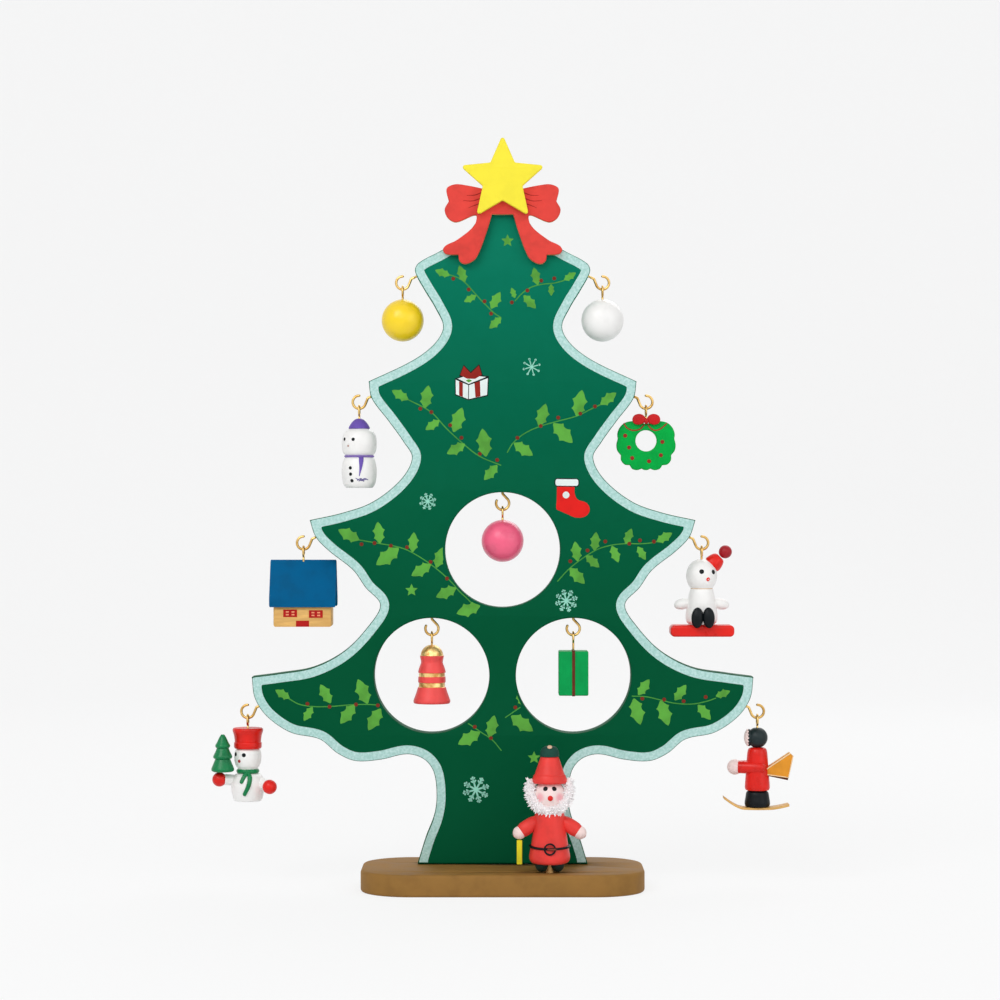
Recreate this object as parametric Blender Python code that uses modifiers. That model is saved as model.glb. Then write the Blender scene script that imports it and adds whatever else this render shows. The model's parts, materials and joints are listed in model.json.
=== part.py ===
"""A flat wooden Christmas tree on a stand, with brass hooks and twelve wooden ornaments.

Lengths are in metres. The origin is the middle of the stand's underside, +Z is up and the
tree's painted front faces -Y. Every table whose name ends in SHARES holds fractions of the
sizes that it is used with.
"""

import math

import bmesh
import bpy
from mathutils import Vector

# General
GAP = 0.0003
CUT_OVERRUN = 0.002
MERGE_DISTANCE = 0.00001
EDGE_ANGLE = math.radians(50)
SHARP_ANGLE = math.radians(40)

# Stand
BASE_WIDTH = 0.116
BASE_DEPTH = 0.061
BASE_THICKNESS = 0.009
BASE_CORNER_RADIUS = 0.0205
BASE_EDGE_ROUND = 0.0008
TREE_SETBACK = 0.040
DOWEL_DIAMETER = 0.003
DOWEL_SPACING = 0.032
DOWEL_LENGTH = 0.015
DOWEL_SEAT = 0.006

# Tree board
TREE_HEIGHT = 0.2797
TREE_HALF_WIDTH = 0.1037
BOARD_THICKNESS = 0.012
BOARD_EDGE_ROUND = 0.0007
HOLE_DIAMETER = 0.0477
HOLE_SHARES = [(0.0, 0.464), (-0.283, 0.278), (0.283, 0.278)]

# Half outline of the tree from the top down, as shares of the half width and the height.
# A third value marks a sharp corner.
CORNER = True
TREE_OUTLINE_SHARES = [
    (0.000, 1.000), (0.036, 0.994), (0.080, 0.963), (0.151, 0.928), (0.247, 0.906),
    (0.335, 0.888), (0.349, 0.876), (0.315, 0.851), (0.271, 0.824), (0.237, 0.794),
    (0.271, 0.769), (0.359, 0.744), (0.534, 0.713, CORNER),
    (0.522, 0.688), (0.456, 0.655), (0.394, 0.623), (0.361, 0.600),
    (0.406, 0.568), (0.518, 0.535), (0.637, 0.519), (0.769, 0.508, CORNER),
    (0.745, 0.483), (0.691, 0.462), (0.596, 0.434), (0.546, 0.408), (0.488, 0.383),
    (0.534, 0.352), (0.633, 0.314), (0.757, 0.290), (0.896, 0.281), (1.000, 0.276, CORNER),
    (0.988, 0.245), (0.940, 0.218), (0.845, 0.194), (0.729, 0.184),
    (0.657, 0.163), (0.586, 0.152), (0.486, 0.154), (0.382, 0.162), (0.315, 0.155),
    (0.275, 0.136), (0.263, 0.099), (0.275, 0.069), (0.307, 0.038), (0.339, 0.000, CORNER),
]

# Star and bow on the top
STAR_RADIUS = 0.0185
STAR_INNER_SHARE = 0.465
STAR_TIP_ROUND = 0.0009
STAR_THICKNESS = 0.003
STAR_HEIGHT_SHARE = 1.009
BOW_HALF_WIDTH = 0.0246
BOW_HEIGHT = 0.0318
BOW_THICKNESS = 0.003
BOW_TOP_SHARE = 0.9926
PLATE_EDGE_ROUND = 0.0005
BOW_OUTLINE_SHARES = [
    (0.000, 0.000), (0.600, 0.078), (0.800, 0.092), (0.938, 0.036), (0.903, -0.130, CORNER),
    (0.972, -0.238), (0.912, -0.351), (0.775, -0.400), (0.450, -0.310), (0.475, -0.440),
    (0.764, -0.628), (1.000, -0.741), (0.930, -0.810), (0.742, -0.816, CORNER), (0.668, -0.940),
    (0.428, -0.855), (0.268, -0.530), (0.178, -0.298, CORNER), (0.000, -0.300),
]

# Hooks: circle centres as shares of the half width and the height
HOOK_WIRE = 0.0011
HOOK_RADIUS = 0.0027
HOOK_SHANK = 0.0108
HOOK_DROP = 0.0046
HOOK_LEAN = math.radians(65)
HOOK_START_SHARE = 50 / 360
HOOK_SWEEP_SHARE = 255 / 360
HOOK_BEND_SHARE = 1.45
HOOK_NAMES = ["left_1", "right_1", "left_2", "right_2", "left_3", "right_3", "left_4", "right_4",
              "hole_top", "hole_left", "hole_right"]
SIDE_HOOK_SHARES = [(0.400, 0.860), (0.574, 0.683), (0.797, 0.474), (1.020, 0.224)]

# Screw eyes
EYE_WIRE = 0.0009
EYE_RADIUS = 0.00215
EYE_NECK = 0.0007
EYE_SCREW = 0.0036
EYE_START_SHARE = -62 / 360
EYE_SWEEP_SHARE = 300 / 360
EYE_BEND_SHARE = 1.22

# Arms: the shoulder's profile as shares of the arm's diameter, and how far out of the sleeve the
# middle of a hand stands, as a share of the hand's diameter
SHOULDER_SHARES = [(0.0, 0.25), (0.25, 0.20), (0.50, -0.125)]
HAND_SEAT_SHARE = 0.42

# Balls
BALL_DIAMETER = 0.0175
BALL_LATITUDE = math.radians(70)

# Bell, profile from the top down as shares of the rim radius and the height
BELL_DIAMETER = 0.0156
BELL_HEIGHT = 0.0242
BELL_PROFILE_SHARES = [
    (0.26, 0.000), (0.47, -0.060), (0.57, -0.190), (0.63, -0.200), (0.63, -0.300),
    (0.575, -0.335), (0.75, -0.390), (0.775, -0.490), (0.74, -0.505), (0.74, -0.530),
    (0.78, -0.545), (0.79, -0.640), (0.755, -0.655), (0.755, -0.680), (0.80, -0.695),
    (0.87, -0.790), (0.98, -0.890), (1.00, -0.945), (0.93, -1.000), (0.70, -0.970), (0.00, -0.955),
]

# Small snowman
SNOWMAN_DIAMETER = 0.0145
SNOWMAN_HEIGHT = 0.0245
SNOWMAN_PROFILE_SHARES = [
    (0.56, 0.000), (0.84, -0.060), (0.98, -0.160), (1.00, -0.290), (0.95, -0.385),
    (0.85, -0.435), (0.80, -0.445), (0.80, -0.490), (0.85, -0.500), (0.94, -0.560),
    (1.00, -0.680), (1.00, -0.800), (0.93, -0.920), (0.82, -0.980), (0.74, -1.000),
    (0.00, -1.000),
]
SNOWMAN_NECK_SHARES = (-0.445, -0.490)
SNOWMAN_HAT_DIAMETER = 0.0089
SNOWMAN_HAT_HEIGHT = 0.0042
SNOWMAN_HAT_SHARES = [(0.20, 0.0), (0.42, -0.10), (0.75, -0.45), (1.0, -0.92), (0.96, -1.0)]
SCARF_BULGE = 0.0005
SCARF_TAIL_LENGTH = 0.0080
SCARF_TAIL_THICKNESS = 0.0006

# Gift
GIFT_WIDTH = 0.0123
GIFT_DEPTH = 0.0120
GIFT_HEIGHT = 0.0184
GIFT_EDGE_ROUND = 0.0005
GIFT_NECK = 0.0022
RIBBON_WIDTH = 0.0014
RIBBON_THICKNESS = 0.0005

# Wreath, half outline from the top notch round to the bottom
WREATH_HALF_WIDTH = 0.01225
WREATH_HEIGHT = 0.0203
WREATH_THICKNESS = 0.0040
WREATH_HOLE_DIAMETER = 0.0088
WREATH_HOLE_SHARE = 0.60
WREATH_NECK = 0.0030
WREATH_SCREW = 0.0018
WREATH_NOTCH_SHARE = 0.940
WREATH_OUTLINE_SHARES = [
    (0.00, WREATH_NOTCH_SHARE, CORNER), (0.24, 0.985), (0.50, 1.000), (0.74, 0.960), (0.90, 0.860),
    (0.97, 0.740), (0.955, 0.640, CORNER), (1.00, 0.520), (0.97, 0.400), (0.85, 0.305, CORNER),
    (0.84, 0.200), (0.72, 0.115), (0.55, 0.100, CORNER), (0.46, 0.025), (0.30, 0.000),
    (0.14, 0.030, CORNER), (0.07, 0.005), (0.00, 0.000),
]
WREATH_BOW_HALF_WIDTH = 0.0058
WREATH_BOW_HEIGHT = 0.0045
WREATH_BOW_THICKNESS = 0.0015
WREATH_BOW_OVERLAP = 0.0012
WREATH_BOW_SHARES = [
    (0.00, 0.68, CORNER), (0.30, 0.92), (0.62, 1.00), (0.92, 0.82), (1.00, 0.50),
    (0.90, 0.15), (0.60, 0.00), (0.28, 0.10), (0.00, 0.34, CORNER),
]

# House
HOUSE_WIDTH = 0.0241
HOUSE_DEPTH = 0.0130
HOUSE_WALL_HEIGHT = 0.0106
ROOF_WIDTH = 0.0275
ROOF_RISE = 0.0155
ROOF_OVERHANG = 0.0014
ROOF_THICKNESS = 0.0018
HOUSE_EDGE_ROUND = 0.0004
HOUSE_NECK = 0.0008

# Snowman with a little tree
TREEMAN_DIAMETER = 0.0140
TREEMAN_HEIGHT = 0.0218
TREEMAN_PROFILE_SHARES = [
    (0.62, 0.000), (0.76, -0.050), (0.80, -0.130), (0.79, -0.230), (0.70, -0.330),
    (0.58, -0.385), (0.58, -0.470), (0.74, -0.490), (0.90, -0.550), (1.00, -0.670),
    (0.97, -0.800), (0.88, -0.930), (0.82, -0.985), (0.76, -1.000), (0.00, -1.000),
]
TREEMAN_NECK_SHARES = (-0.395, -0.465)
TREEMAN_HAT_DIAMETER = 0.0126
TREEMAN_HAT_HEIGHT = 0.0085
TREEMAN_HAT_SHARES = [
    (0.90, 0.00), (1.00, -0.07), (0.99, -0.16), (0.89, -0.33), (0.85, -0.58), (0.87, -0.68),
    (0.93, -0.73), (0.96, -0.83), (0.93, -0.95), (0.86, -1.00),
]
TREEMAN_SCARF_BULGE = 0.0007
TREEMAN_ARM_DIAMETER = 0.0046
TREEMAN_ARM_LENGTH = 0.0060
TREEMAN_MITTEN_DIAMETER = 0.0060
TREEMAN_SHOULDER_SHARE = -0.61
TREEMAN_SHOULDER_INSET_SHARE = 0.5
TREEMAN_LEFT_TILT = math.radians(94)
TREEMAN_LEFT_FORWARD = math.radians(15)
TREEMAN_RIGHT_TILT = math.radians(75)
TREEMAN_RIGHT_FORWARD = math.radians(42)
LITTLE_TREE_OFFSET = 0.0101
LITTLE_TREE_FORWARD = 0.0036
TREEMAN_SCARF_TAIL = 0.0090
TREEMAN_SCARF_WIRE = 0.0013
TREEMAN_TAIL_SHARES = [
    [(0.02, 0.00), (-0.10, -0.20), (-0.22, -0.45)],
    [(0.02, 0.00), (0.14, -0.25), (0.10, -0.60), (-0.08, -1.00)],
]
LITTLE_TREE_DIAMETER = 0.0094
LITTLE_TREE_HEIGHT = 0.0155
LITTLE_TREE_SHARES = [
    (0.14, -0.005), (0.30, -0.08), (0.52, -0.22), (0.66, -0.30), (0.62, -0.345), (0.52, -0.37),
    (0.66, -0.47), (0.84, -0.59), (0.80, -0.635), (0.66, -0.66), (0.82, -0.78), (1.00, -0.92),
    (0.98, -0.97), (0.84, -1.00), (0.00, -1.00),
]

# Soldier, seen in profile and facing -X
SOLDIER_HEAD_DIAMETER = 0.0086
SOLDIER_HEAD_HEIGHT = 0.0081
SOLDIER_BODY_DIAMETER = 0.0104
SOLDIER_BODY_HEIGHT = 0.0177
SOLDIER_BODY_SHARES = [
    (0.62, 0.00), (0.76, -0.04), (0.80, -0.14), (0.86, -0.40), (0.96, -0.75), (1.00, -0.93),
    (0.94, -1.00), (0.00, -1.00),
]
SOLDIER_ARM_DIAMETER = 0.0053
SOLDIER_ARM_LENGTH = 0.0115
SOLDIER_ARM_SHARE = -0.46
SOLDIER_SHOULDER_BACK = 0.0021
SOLDIER_SHOULDER_OUT = 0.0034
SOLDIER_FACE_DEPTH = 0.0028
SOLDIER_FACE_WIDTH = 0.0056
SOLDIER_FACE_HEIGHT = 0.0062
SOLDIER_FACE_SHARE = 0.44
SOLDIER_HAND_DIAMETER = 0.0064
SOLDIER_HAND_SEAT_SHARE = 0.08
SOLDIER_BOOT_DIAMETER = 0.0106
SOLDIER_BOOT_HEIGHT = 0.0064
SOLDIER_BOOT_SHARES = [(0.72, 0.00), (0.88, -0.17), (1.00, -0.83), (0.92, -1.00), (0.00, -1.00)]
PACK_REACH = 0.0112
PACK_START = 0.0034
PACK_HEIGHT = 0.0112
PACK_THICKNESS = 0.0050
PACK_BOTTOM_SHARE = -0.76
PACK_OUTLINE_SHARES = [(0.00, 0.40), (0.90, 1.00), (1.00, 0.90), (0.81, 0.00), (0.00, 0.17)]
ROCKER_LENGTH = 0.0270
ROCKER_RISE = 0.0044
ROCKER_THICKNESS = 0.0009
ROCKER_WIDTH = 0.0080
ROCKER_LINE_SHARES = [
    (-0.52, 1.00), (-0.40, 0.48), (-0.29, 0.12), (-0.20, 0.00), (0.20, 0.00), (0.34, 0.12),
    (0.48, 0.32),
]

# Sled doll
DOLL_HEAD_DIAMETER = 0.0129
DOLL_HEIGHT = 0.0268
DOLL_PROFILE_SHARES = [
    (0.26, 0.000), (0.62, -0.045), (0.90, -0.135), (1.00, -0.240), (0.93, -0.350),
    (0.76, -0.430), (0.68, -0.450), (0.76, -0.475), (0.86, -0.600), (0.97, -0.760),
    (1.03, -0.870), (0.98, -0.960), (0.84, -1.000), (0.00, -1.000),
]
DOLL_ARM_DIAMETER = 0.0046
DOLL_ARM_LENGTH = 0.0072
DOLL_SHOULDER_SHARE = -0.69
DOLL_ARM_OFFSET = 0.0079
DOLL_ARM_TILT = math.radians(12)
DOLL_BOOT_WIDTH = 0.0050
DOLL_BOOT_HEIGHT = 0.0086
DOLL_BOOT_DEPTH = 0.0036
DOLL_BOOT_SPLAY = math.radians(3)
DOLL_BOOT_DROP = 0.0014
DOLL_BOOT_SPREAD_SHARE = 0.47
DOLL_BOOT_LEVEL_SHARE = 0.33
SLED_LENGTH = 0.0264
SLED_DEPTH = 0.0122
SLED_THICKNESS = 0.0048
SLED_CORNER_RADIUS = 0.0018
SLED_EDGE_ROUND = 0.0008
CAP_DIAMETER = 0.0074
CAP_HEIGHT = 0.0052
CAP_TILT = math.radians(46)
CAP_SETBACK = 0.0010
CAP_ROOT_SHARE = 0.86
CAP_SHARES = [(0.50, 0.0), (0.66, -0.10), (0.84, -0.42), (1.0, -0.80), (0.94, -1.0)]
CAP_POMPOM_DIAMETER = 0.0055

# Santa
SANTA_OFFSET = 0.019
SANTA_SETBACK = 0.009
PEG_DIAMETER = 0.0031
PEG_LENGTH = 0.0115
PEG_SEAT = 0.0060
SANTA_BOOTS_WIDTH = 0.0120
SANTA_BOOTS_DEPTH = 0.0078
SANTA_BOOT_HEIGHT = 0.0031
SANTA_BOOT_ROUND = 0.0008
COAT_DIAMETER = 0.0166
COAT_HEIGHT = 0.0222
COAT_PROFILE_SHARES = [
    (0.52, 0.00), (0.66, -0.025), (0.71, -0.08), (0.76, -0.25), (0.86, -0.55), (0.96, -0.78),
    (1.00, -0.88), (0.96, -0.955), (0.84, -1.00),
]
BELT_SHARE = -0.68
BELT_HEIGHT = 0.0010
BELT_THICKNESS = 0.0007
BUCKLE_DIAMETER = 0.0040
BUCKLE_WIRE = 0.0008
SANTA_HEAD_DIAMETER = 0.0130
SANTA_HEAD_HEIGHT = 0.0100
SANTA_HAT_DIAMETER = 0.0144
SANTA_HAT_HEIGHT = 0.0108
SANTA_HAT_SHARES = [
    (0.45, 0.00), (0.51, -0.05), (0.67, -0.35), (0.82, -0.62), (0.83, -0.66), (0.90, -0.69),
    (0.97, -0.84), (1.00, -0.94), (0.95, -1.00), (0.00, -1.00),
]
POMPOM_DIAMETER = 0.0078
POMPOM_HEIGHT = 0.0043
SLEEVE_DIAMETER = 0.0060
SLEEVE_LENGTH = 0.0070
SLEEVE_TILT = math.radians(56)
SANTA_SHOULDER_SHARE = -0.20
SANTA_SHOULDER_INSET_SHARE = 0.75
SLEEVE_FORWARD = math.radians(10)
HAND_DIAMETER = 0.0054
STICK_WIDTH = 0.0022
STICK_LENGTH = 0.0098
STICK_DEPTH = 0.0022
BEARD_TUBE_RADIUS = 0.0030
BEARD_SPREAD = 0.0083
BEARD_DROP = 0.0058
BEARD_REACH = 0.0046
BEARD_PATH_SHARES = [
    (-1.11, -0.05, 0.82), (-1.10, -0.15, 0.25), (-0.90, -0.50, -0.42), (-0.50, -0.86, -0.82),
    (0.00, -1.00, -1.00), (0.50, -0.86, -0.82), (0.90, -0.50, -0.42), (1.10, -0.15, 0.25),
    (1.11, -0.05, 0.82),
]
BEARD_TAPER_SHARES = [0.78, 0.94, 1.00, 1.00, 1.00, 1.00, 1.00, 0.94, 0.78]

# Facets
TURN_STEPS = 14
SMALL_STEPS = 10
BORE_STEPS = 8
OUTLINE_STEPS = 2
HOLE_STEPS = 28
ARC_STEPS = 7
BALL_STEPS = 7
TIP_STEPS = 3

UPRIGHT = (math.radians(90), 0.0, 0.0)
SIDEWAYS = (math.radians(90), 0.0, math.radians(90))
FLAT = (0.0, 0.0, 0.0)

# Derived places
TREE_Y = TREE_SETBACK - BASE_DEPTH / 2
SANTA_Y = SANTA_SETBACK - BASE_DEPTH / 2
FOOT_Z = BASE_THICKNESS + GAP
BOARD_FRONT = -BOARD_THICKNESS / 2
BOW_Y = BOARD_FRONT - GAP - BOW_THICKNESS / 2
STAR_Y = BOW_Y - BOW_THICKNESS / 2 - GAP - STAR_THICKNESS / 2
EYE_DROP = EYE_RADIUS - EYE_WIRE / 2 - HOOK_WIRE / 2 - GAP
BORE_RADIUS = EYE_WIRE / 2 + GAP


def empty_scene():
    """Removes every object of the start-up scene."""
    for scene_object in list(bpy.data.objects):
        bpy.data.objects.remove(scene_object, do_unlink=True)


def new_collection(name):
    collection = bpy.data.collections.new(name)
    bpy.context.scene.collection.children.link(collection)
    return collection


def linear(channel):
    """Turns one display value of 0 to 255 into a linear one."""
    value = channel / 255
    return value / 12.92 if value <= 0.04045 else ((value + 0.055) / 1.055) ** 2.4


def material(name, colour, roughness=0.5, metallic=0.0):
    made = bpy.data.materials.get(name)
    if made is None:
        made = bpy.data.materials.new(name)
        made.use_nodes = True
        shader = made.node_tree.nodes["Principled BSDF"]
        shader.inputs["Base Color"].default_value = [linear(value) for value in colour] + [1.0]
        shader.inputs["Roughness"].default_value = roughness
        shader.inputs["Metallic"].default_value = metallic
    return made


def wood():
    return material("natural_wood", (222, 176, 112), 0.6)


def brass():
    return material("brass_wire", (205, 165, 85), 0.3, 1.0)


def paint(name, colour):
    return material(name, colour, 0.35)


def white():
    return paint("white_paint", (238, 236, 230))


def red():
    return paint("red_paint", (222, 52, 40))


def black():
    return paint("black_paint", (38, 42, 40))


def skin():
    return paint("skin_paint", (240, 190, 175))


def place(name, data, location, finish, parent, rotation=FLAT, collection=None):
    """Links one object under its parent and gives it its material."""
    piece = bpy.data.objects.new(name, data)
    (collection or PARTS).objects.link(piece)
    piece.parent = parent
    piece.location = location
    piece.rotation_euler = rotation
    if finish is not None and not data.materials:
        data.materials.append(finish)
    return piece


def axis_point(name, location, parent=None):
    """An empty that pieces are placed from, such as a joint's axis."""
    point = bpy.data.objects.new(name, None)
    PARTS.objects.link(point)
    point.parent = parent
    point.location = location
    return point


def scaled(shares, across, along):
    """Turns a table of shares into points in metres and keeps the corner marks."""
    return [(share[0] * across, share[1] * along) + tuple(share[2:]) for share in shares]


def moved(points, offset):
    return [(point[0], point[1] + offset) + tuple(point[2:]) for point in points]


def mirrored(half):
    """Closes a half outline, listed from the top down, with its mirror image."""
    other_side = [(-point[0],) + tuple(point[1:]) for point in reversed(half) if point[0] > 0]
    return half + other_side


def circle(radius, steps, centre=(0.0, 0.0)):
    turns = [2 * math.pi * step / steps for step in range(steps)]
    return [(centre[0] + radius * math.cos(turn), centre[1] + radius * math.sin(turn)) for turn in turns]


def rounded_polygon(corners, radius, steps):
    """Replaces each corner of a polygon by an arc of the given radius."""
    points = []
    count = len(corners)
    for index, (x, y) in enumerate(corners):
        before = corners[index - 1]
        after = corners[(index + 1) % count]
        to_before = math.atan2(before[1] - y, before[0] - x)
        to_after = math.atan2(after[1] - y, after[0] - x)
        opening = math.remainder(to_after - to_before, 2 * math.pi)
        reach = radius / abs(math.sin(opening / 2))
        middle = to_before + opening / 2
        centre = (x + reach * math.cos(middle), y + reach * math.sin(middle))
        half_sweep = math.copysign(math.pi / 2 - abs(opening) / 2, opening)
        for step in range(steps + 1):
            turn = middle + math.pi + half_sweep * (1 - 2 * step / steps)
            points.append((centre[0] + radius * math.cos(turn), centre[1] + radius * math.sin(turn)))
    return points


def rectangle(width, depth):
    return [(x * width / 2, y * depth / 2) for x, y in ((-1, -1), (1, -1), (1, 1), (-1, 1))]


def add_outline(curve, points, smooth):
    """Adds one closed outline: smooth through its points, apart from marked corners, or straight."""
    if smooth:
        spline = curve.splines.new("BEZIER")
        spline.bezier_points.add(len(points) - 1)
        spline.resolution_u = OUTLINE_STEPS
        for knot, point in zip(spline.bezier_points, points):
            knot.co = (point[0], point[1], 0.0)
        for knot, point in zip(spline.bezier_points, points):
            kind = "VECTOR" if len(point) > 2 else "AUTO"
            knot.handle_left_type = kind
            knot.handle_right_type = kind
    else:
        spline = curve.splines.new("POLY")
        spline.points.add(len(points) - 1)
        for knot, point in zip(spline.points, points):
            knot.co = (point[0], point[1], 0.0, 1.0)
    spline.use_cyclic_u = True


def as_mesh(piece):
    """Replaces a curve object by a mesh object with its caps welded."""
    evaluated = piece.evaluated_get(bpy.context.evaluated_depsgraph_get())
    mesh = bpy.data.meshes.new_from_object(evaluated)
    shape = bmesh.new()
    shape.from_mesh(mesh)
    bmesh.ops.remove_doubles(shape, verts=shape.verts, dist=MERGE_DISTANCE)
    bmesh.ops.recalc_face_normals(shape, faces=shape.faces)
    shape.to_mesh(mesh)
    shape.free()
    name = piece.name
    parent = piece.parent
    location = piece.location.copy()
    rotation = piece.rotation_euler.copy()
    collection = piece.users_collection[0]
    bpy.data.objects.remove(piece, do_unlink=True)
    return place(name, mesh, location, None, parent, rotation, collection)


def round_edges(piece, width, segments=1):
    modifier = piece.modifiers.new("rounded edges", "BEVEL")
    modifier.width = width
    modifier.segments = segments
    modifier.limit_method = "ANGLE"
    modifier.angle_limit = EDGE_ANGLE
    modifier.use_clamp_overlap = True


def plate(name, outlines, thickness, location, finish, parent, rotation=UPRIGHT, smooth=True, edge=0.0):
    """A flat piece cut to an outline, with any further outlines as holes."""
    curve = bpy.data.curves.new(name, "CURVE")
    curve.dimensions = "2D"
    curve.fill_mode = "BOTH"
    curve.extrude = thickness / 2
    add_outline(curve, outlines[0], smooth)
    for hole in outlines[1:]:
        add_outline(curve, hole, False)
    piece = as_mesh(place(name, curve, location, finish, parent, rotation))
    if edge > 0:
        round_edges(piece, edge)
    return piece


def wire(name, path, thickness, finish, parent, taper=None, resolution=1):
    """A round wire or tube along an open path."""
    curve = bpy.data.curves.new(name, "CURVE")
    curve.dimensions = "3D"
    curve.bevel_depth = thickness / 2
    curve.bevel_resolution = resolution
    curve.use_fill_caps = True
    spline = curve.splines.new("POLY")
    spline.points.add(len(path) - 1)
    for index, (knot, point) in enumerate(zip(spline.points, path)):
        knot.co = (point[0], point[1], point[2], 1.0)
        knot.radius = taper[index] if taper else 1.0
    return place(name, curve, FLAT, finish, parent)


def turned(name, profile, location, finish, parent, rotation=FLAT, steps=TURN_STEPS, ring=False,
           collection=None):
    """A piece turned about its own Z axis from a profile listed from the top down its outer side."""
    mesh = bpy.data.meshes.new(name)
    points = [(radius, 0.0, height) for radius, height in profile]
    edges = [(index, index + 1) for index in range(len(points) - 1)]
    if ring:
        edges.append((len(points) - 1, 0))
    mesh.from_pydata(points, edges, [])
    piece = place(name, mesh, location, finish, parent, rotation, collection)
    screw = piece.modifiers.new("turned", "SCREW")
    screw.steps = steps
    screw.render_steps = steps
    screw.use_merge_vertices = True
    screw.merge_threshold = MERGE_DISTANCE
    screw.use_smooth_shade = True
    return piece


def closed_top(profile):
    return [(0.0, profile[0][1])] + profile


def closed_bottom(profile):
    return profile + [(0.0, profile[-1][1])]


def bored_below(profile, depth, radius):
    """Ends a profile inside a blind bore in its underside."""
    bottom = profile[-1][1]
    return profile + [(radius, bottom), (radius, bottom + depth), (0.0, bottom + depth)]


def ball_side(diameter, upper, lower, steps=BALL_STEPS, centre=0.0):
    """The outer side of a ball between two latitudes, listed from the upper one down."""
    turns = [upper + (lower - upper) * step / steps for step in range(steps + 1)]
    return [(diameter / 2 * math.cos(turn), centre + diameter / 2 * math.sin(turn)) for turn in turns]


def flat_latitude(diameter, height):
    """The latitude at which a ball is cut to leave the given height between two alike flats."""
    return math.asin(height / diameter)


def dome_profile(diameter, height, steps, top=0.0):
    """Half an ellipsoid with its flat side down, from just off its top to its rim."""
    turns = [math.pi / 2 * (steps - step) / steps for step in range(1, steps + 1)]
    return [(diameter / 2 * math.cos(turn), top - height + height * math.sin(turn)) for turn in turns]


def radius_at(profile, height):
    """The outer radius of a profile at a height."""
    for (radius, z), (next_radius, next_z) in zip(profile, profile[1:]):
        if next_z <= height <= z and next_z < z:
            return radius + (next_radius - radius) * (z - height) / (z - next_z)
    return profile[-1][0]


def ellipsoid(name, size, location, finish, parent, rotation=FLAT, steps=SMALL_STEPS, collection=None):
    mesh = bpy.data.meshes.new(name)
    shape = bmesh.new()
    bmesh.ops.create_uvsphere(shape, u_segments=steps, v_segments=max(steps * 2 // 3, 6), radius=1)
    bmesh.ops.scale(shape, vec=[length / 2 for length in size], verts=shape.verts)
    shape.to_mesh(mesh)
    shape.free()
    mesh.shade_smooth()
    return place(name, mesh, location, finish, parent, rotation, collection)


def rods(name, runs, radius, finish, parent, steps=SMALL_STEPS, collection=None):
    """Straight round rods, each from one point to another, in one object."""
    mesh = bpy.data.meshes.new(name)
    shape = bmesh.new()
    for start, end in runs:
        along = end - start
        turn = along.to_track_quat("Z", "Y").to_matrix().to_4x4()
        turn.translation = (start + end) / 2
        bmesh.ops.create_cone(shape, cap_ends=True, segments=steps, radius1=radius, radius2=radius,
                              depth=along.length, matrix=turn)
    shape.to_mesh(mesh)
    shape.free()
    mesh.shade_smooth()
    mesh.set_sharp_from_angle(angle=SHARP_ANGLE)
    return place(name, mesh, FLAT, finish, parent, FLAT, collection)


def add_rods(name, runs, radius, parent, steps=BORE_STEPS):
    """Round cutters, each from one point to another."""
    return as_cutter(rods(name, runs, radius, None, parent, steps, CUTTERS))


def as_cutter(piece):
    piece.hide_render = True
    piece.display_type = "WIRE"
    return piece


def cut(piece, *cutters):
    for cutter in cutters:
        modifier = piece.modifiers.new("cut by " + cutter.name, "BOOLEAN")
        modifier.object = cutter
        modifier.operation = "DIFFERENCE"
        modifier.solver = "EXACT"
    return piece


def grown(profile):
    """A turned profile that stands one gap proud all over, for cutting a neighbour to fit."""
    outer = [(radius + GAP, height) for radius, height in profile if radius > BORE_RADIUS + GAP]
    top = outer[0][1] + GAP
    bottom = outer[-1][1] - GAP
    return [(0.0, top), (outer[0][0], top)] + outer + [(outer[-1][0], bottom), (0.0, bottom)]


def fit_cutter(name, profile, location, parent, rotation=FLAT, steps=TURN_STEPS):
    return as_cutter(turned(name, grown(profile), location, None, parent, rotation, steps, False, CUTTERS))


def join(piece, addition):
    """Unites a piece with another one that reaches into it."""
    modifier = piece.modifiers.new("joined with " + addition.name, "BOOLEAN")
    modifier.object = as_cutter(addition)
    modifier.operation = "UNION"
    modifier.solver = "EXACT"
    PARTS.objects.unlink(addition)
    CUTTERS.objects.link(addition)
    return piece


def block(name, size, location, finish, parent, edge=0.0, rotation=FLAT):
    mesh = bpy.data.meshes.new(name)
    shape = bmesh.new()
    bmesh.ops.create_cube(shape, size=1)
    bmesh.ops.scale(shape, vec=size, verts=shape.verts)
    shape.to_mesh(mesh)
    shape.free()
    piece = place(name, mesh, location, finish, parent, rotation)
    if edge > 0:
        round_edges(piece, edge)
    return piece


def on_surface(profile, x, height, stand_off):
    """A point in front of a turned piece, so far out from its surface."""
    reach = radius_at(profile, height) + stand_off
    return (x, -math.sqrt(reach ** 2 - x ** 2), height)


def limb_direction(side, tilt, forward):
    """Where a limb points: tilted out from straight down, then swung forward."""
    outward = math.sin(tilt)
    return Vector((side * outward * math.cos(forward), -outward * math.sin(forward), -math.cos(tilt)))


def limb_rotation(side, tilt, forward):
    return (0.0, -side * tilt, -side * forward)


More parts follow.
